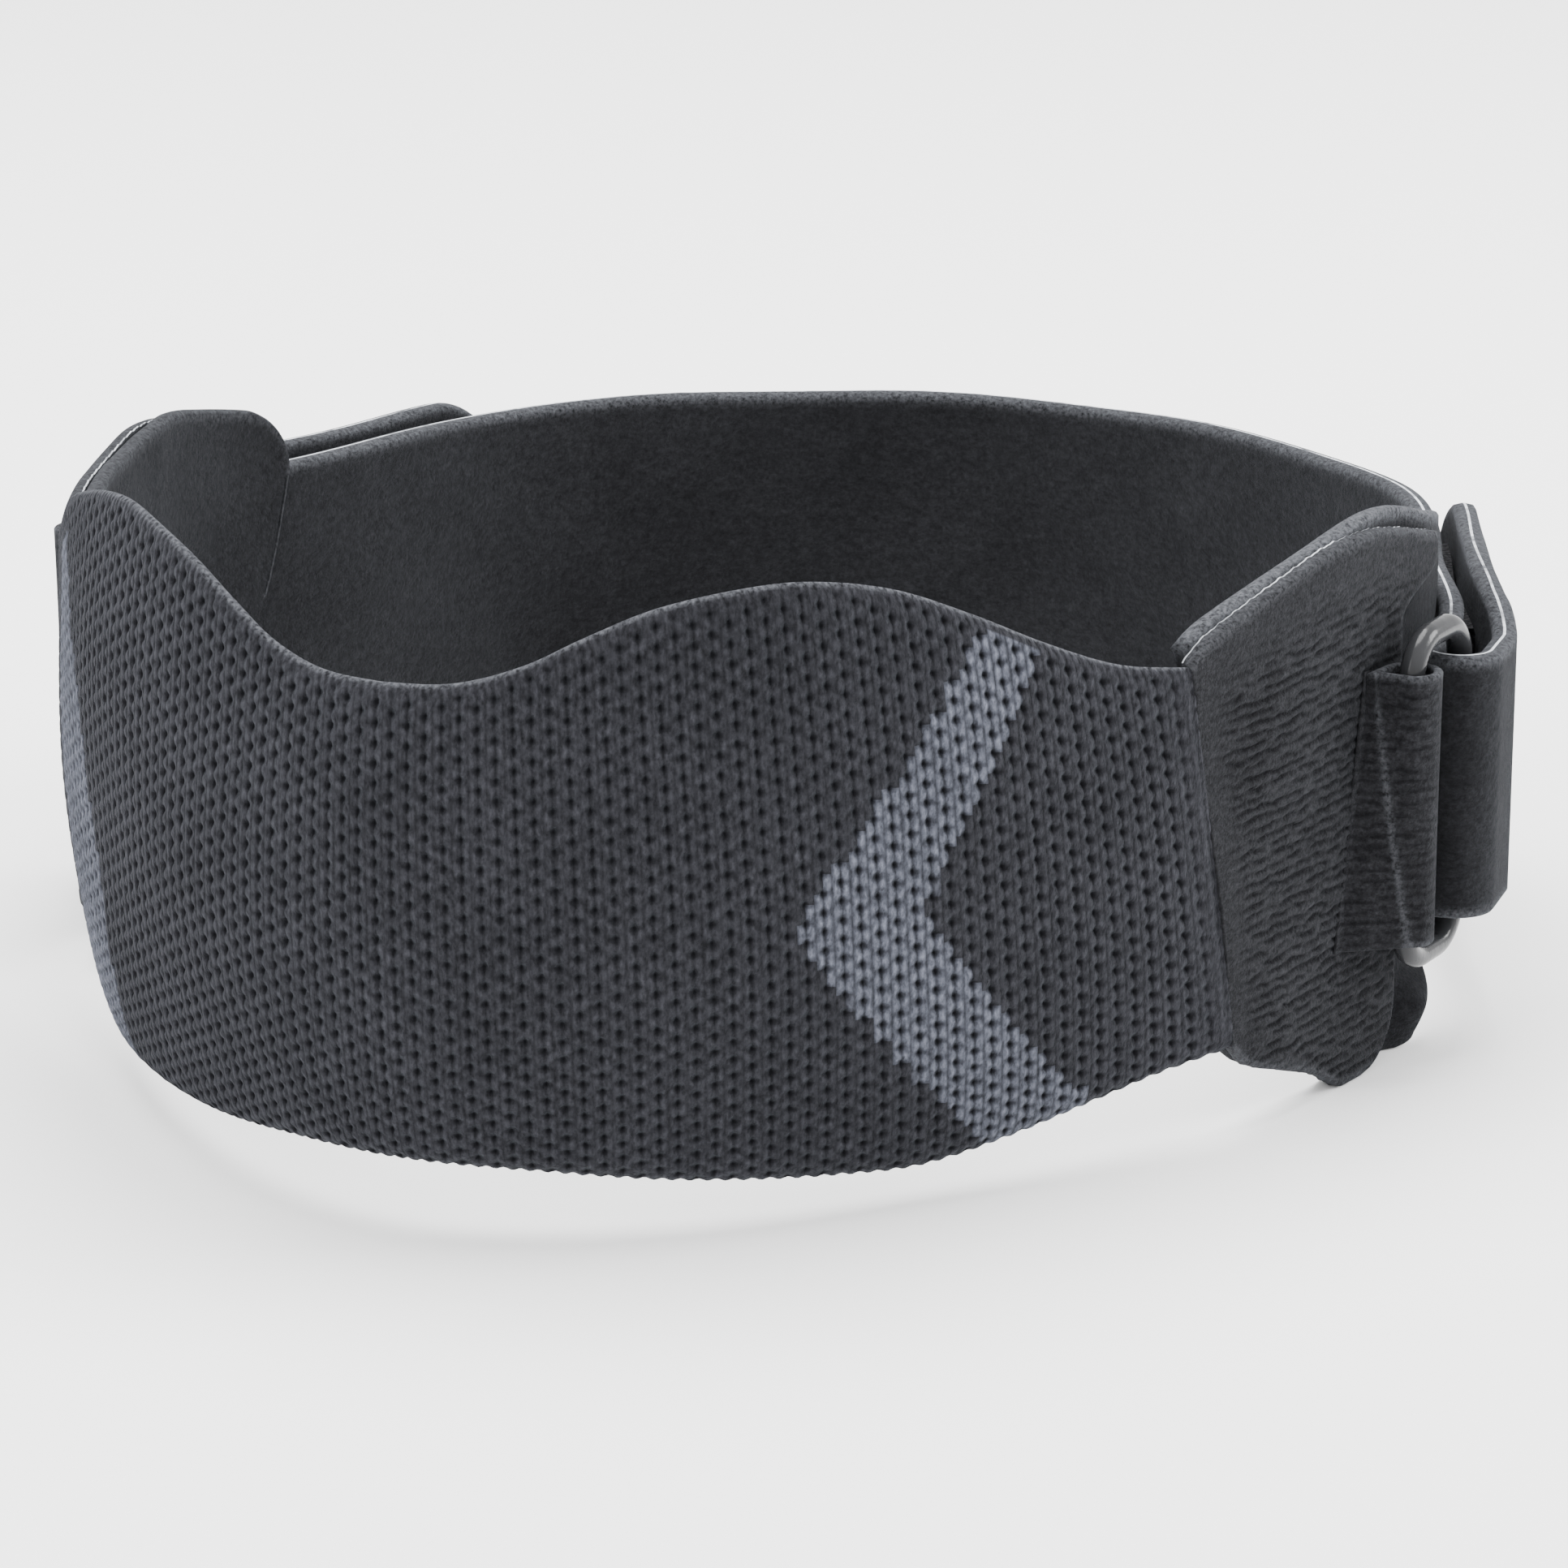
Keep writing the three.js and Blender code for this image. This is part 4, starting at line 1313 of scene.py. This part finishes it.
class STRAP_OT_add_stage(bpy.types.Operator):
    """Set the pale floor, the soft lights and the camera"""

    bl_idname = "strap.add_stage"
    bl_label = "Stage"

    def execute(self, context):
        settings = context.scene.strap_settings
        deselect()
        bpy.ops.mesh.primitive_plane_add(size=FLOOR_WIDTH)
        ground = bpy.context.object
        ground.name = "pale_ground"
        dress(ground, [material(settings, "pale_floor")])
        world = bpy.data.worlds.new("studio")
        world.use_nodes = True
        sky = world.node_tree.nodes["Background"]
        sky.inputs["Color"].default_value = (1, 1, 1, 1)
        sky.inputs["Strength"].default_value = SURROUNDINGS
        context.scene.world = world
        for name, (place, width, power) in SOFTBOXES.items():
            add_softbox(name, place, width, power)
        back = Vector(
            (
                math.sin(CAMERA_AZIMUTH) * math.cos(CAMERA_ELEVATION),
                -math.cos(CAMERA_AZIMUTH) * math.cos(CAMERA_ELEVATION),
                math.sin(CAMERA_ELEVATION),
            )
        )
        lens = bpy.data.cameras.new("camera")
        lens.sensor_width = CAMERA_SENSOR
        lens.lens = CAMERA_LENS
        camera = bpy.data.objects.new("camera", lens)
        context.scene.collection.objects.link(camera)
        camera.location = Vector(CAMERA_AIM) + back * CAMERA_DISTANCE
        camera.rotation_mode = "QUATERNION"
        camera.rotation_quaternion = (-back).to_track_quat("-Z", "Y")
        context.scene.camera = camera
        return {"FINISHED"}


OPERATORS = (
    STRAP_OT_add_pad,
    STRAP_OT_add_wings,
    STRAP_OT_add_rings,
    STRAP_OT_add_strap,
    STRAP_OT_add_stage,
)


class STRAP_PT_panel(bpy.types.Panel):
    """Lists the steps in the sidebar"""

    bl_label = "Patella strap"
    bl_idname = "STRAP_PT_panel"
    bl_space_type = "VIEW_3D"
    bl_region_type = "UI"
    bl_category = "Strap"

    def draw(self, context):
        for operator in OPERATORS:
            self.layout.operator(operator.bl_idname)


CLASSES = (
    StrapLoopSizes,
    StrapPadSizes,
    StrapWingSizes,
    StrapRingSizes,
    StrapBandSizes,
    StrapColours,
    StrapSettings,
    *OPERATORS,
    STRAP_PT_panel,
)


def register():
    for item in CLASSES:
        bpy.utils.register_class(item)
    bpy.types.Scene.strap_settings = bpy.props.PointerProperty(type=StrapSettings)


def unregister():
    del bpy.types.Scene.strap_settings
    for item in reversed(CLASSES):
        bpy.utils.unregister_class(item)


def main():
    register()
    bpy.ops.strap.add_pad()
    bpy.ops.strap.add_rings()
    bpy.ops.strap.add_wings()
    bpy.ops.strap.add_strap()
    bpy.ops.strap.add_stage()


if __name__ == "__main__":
    main()
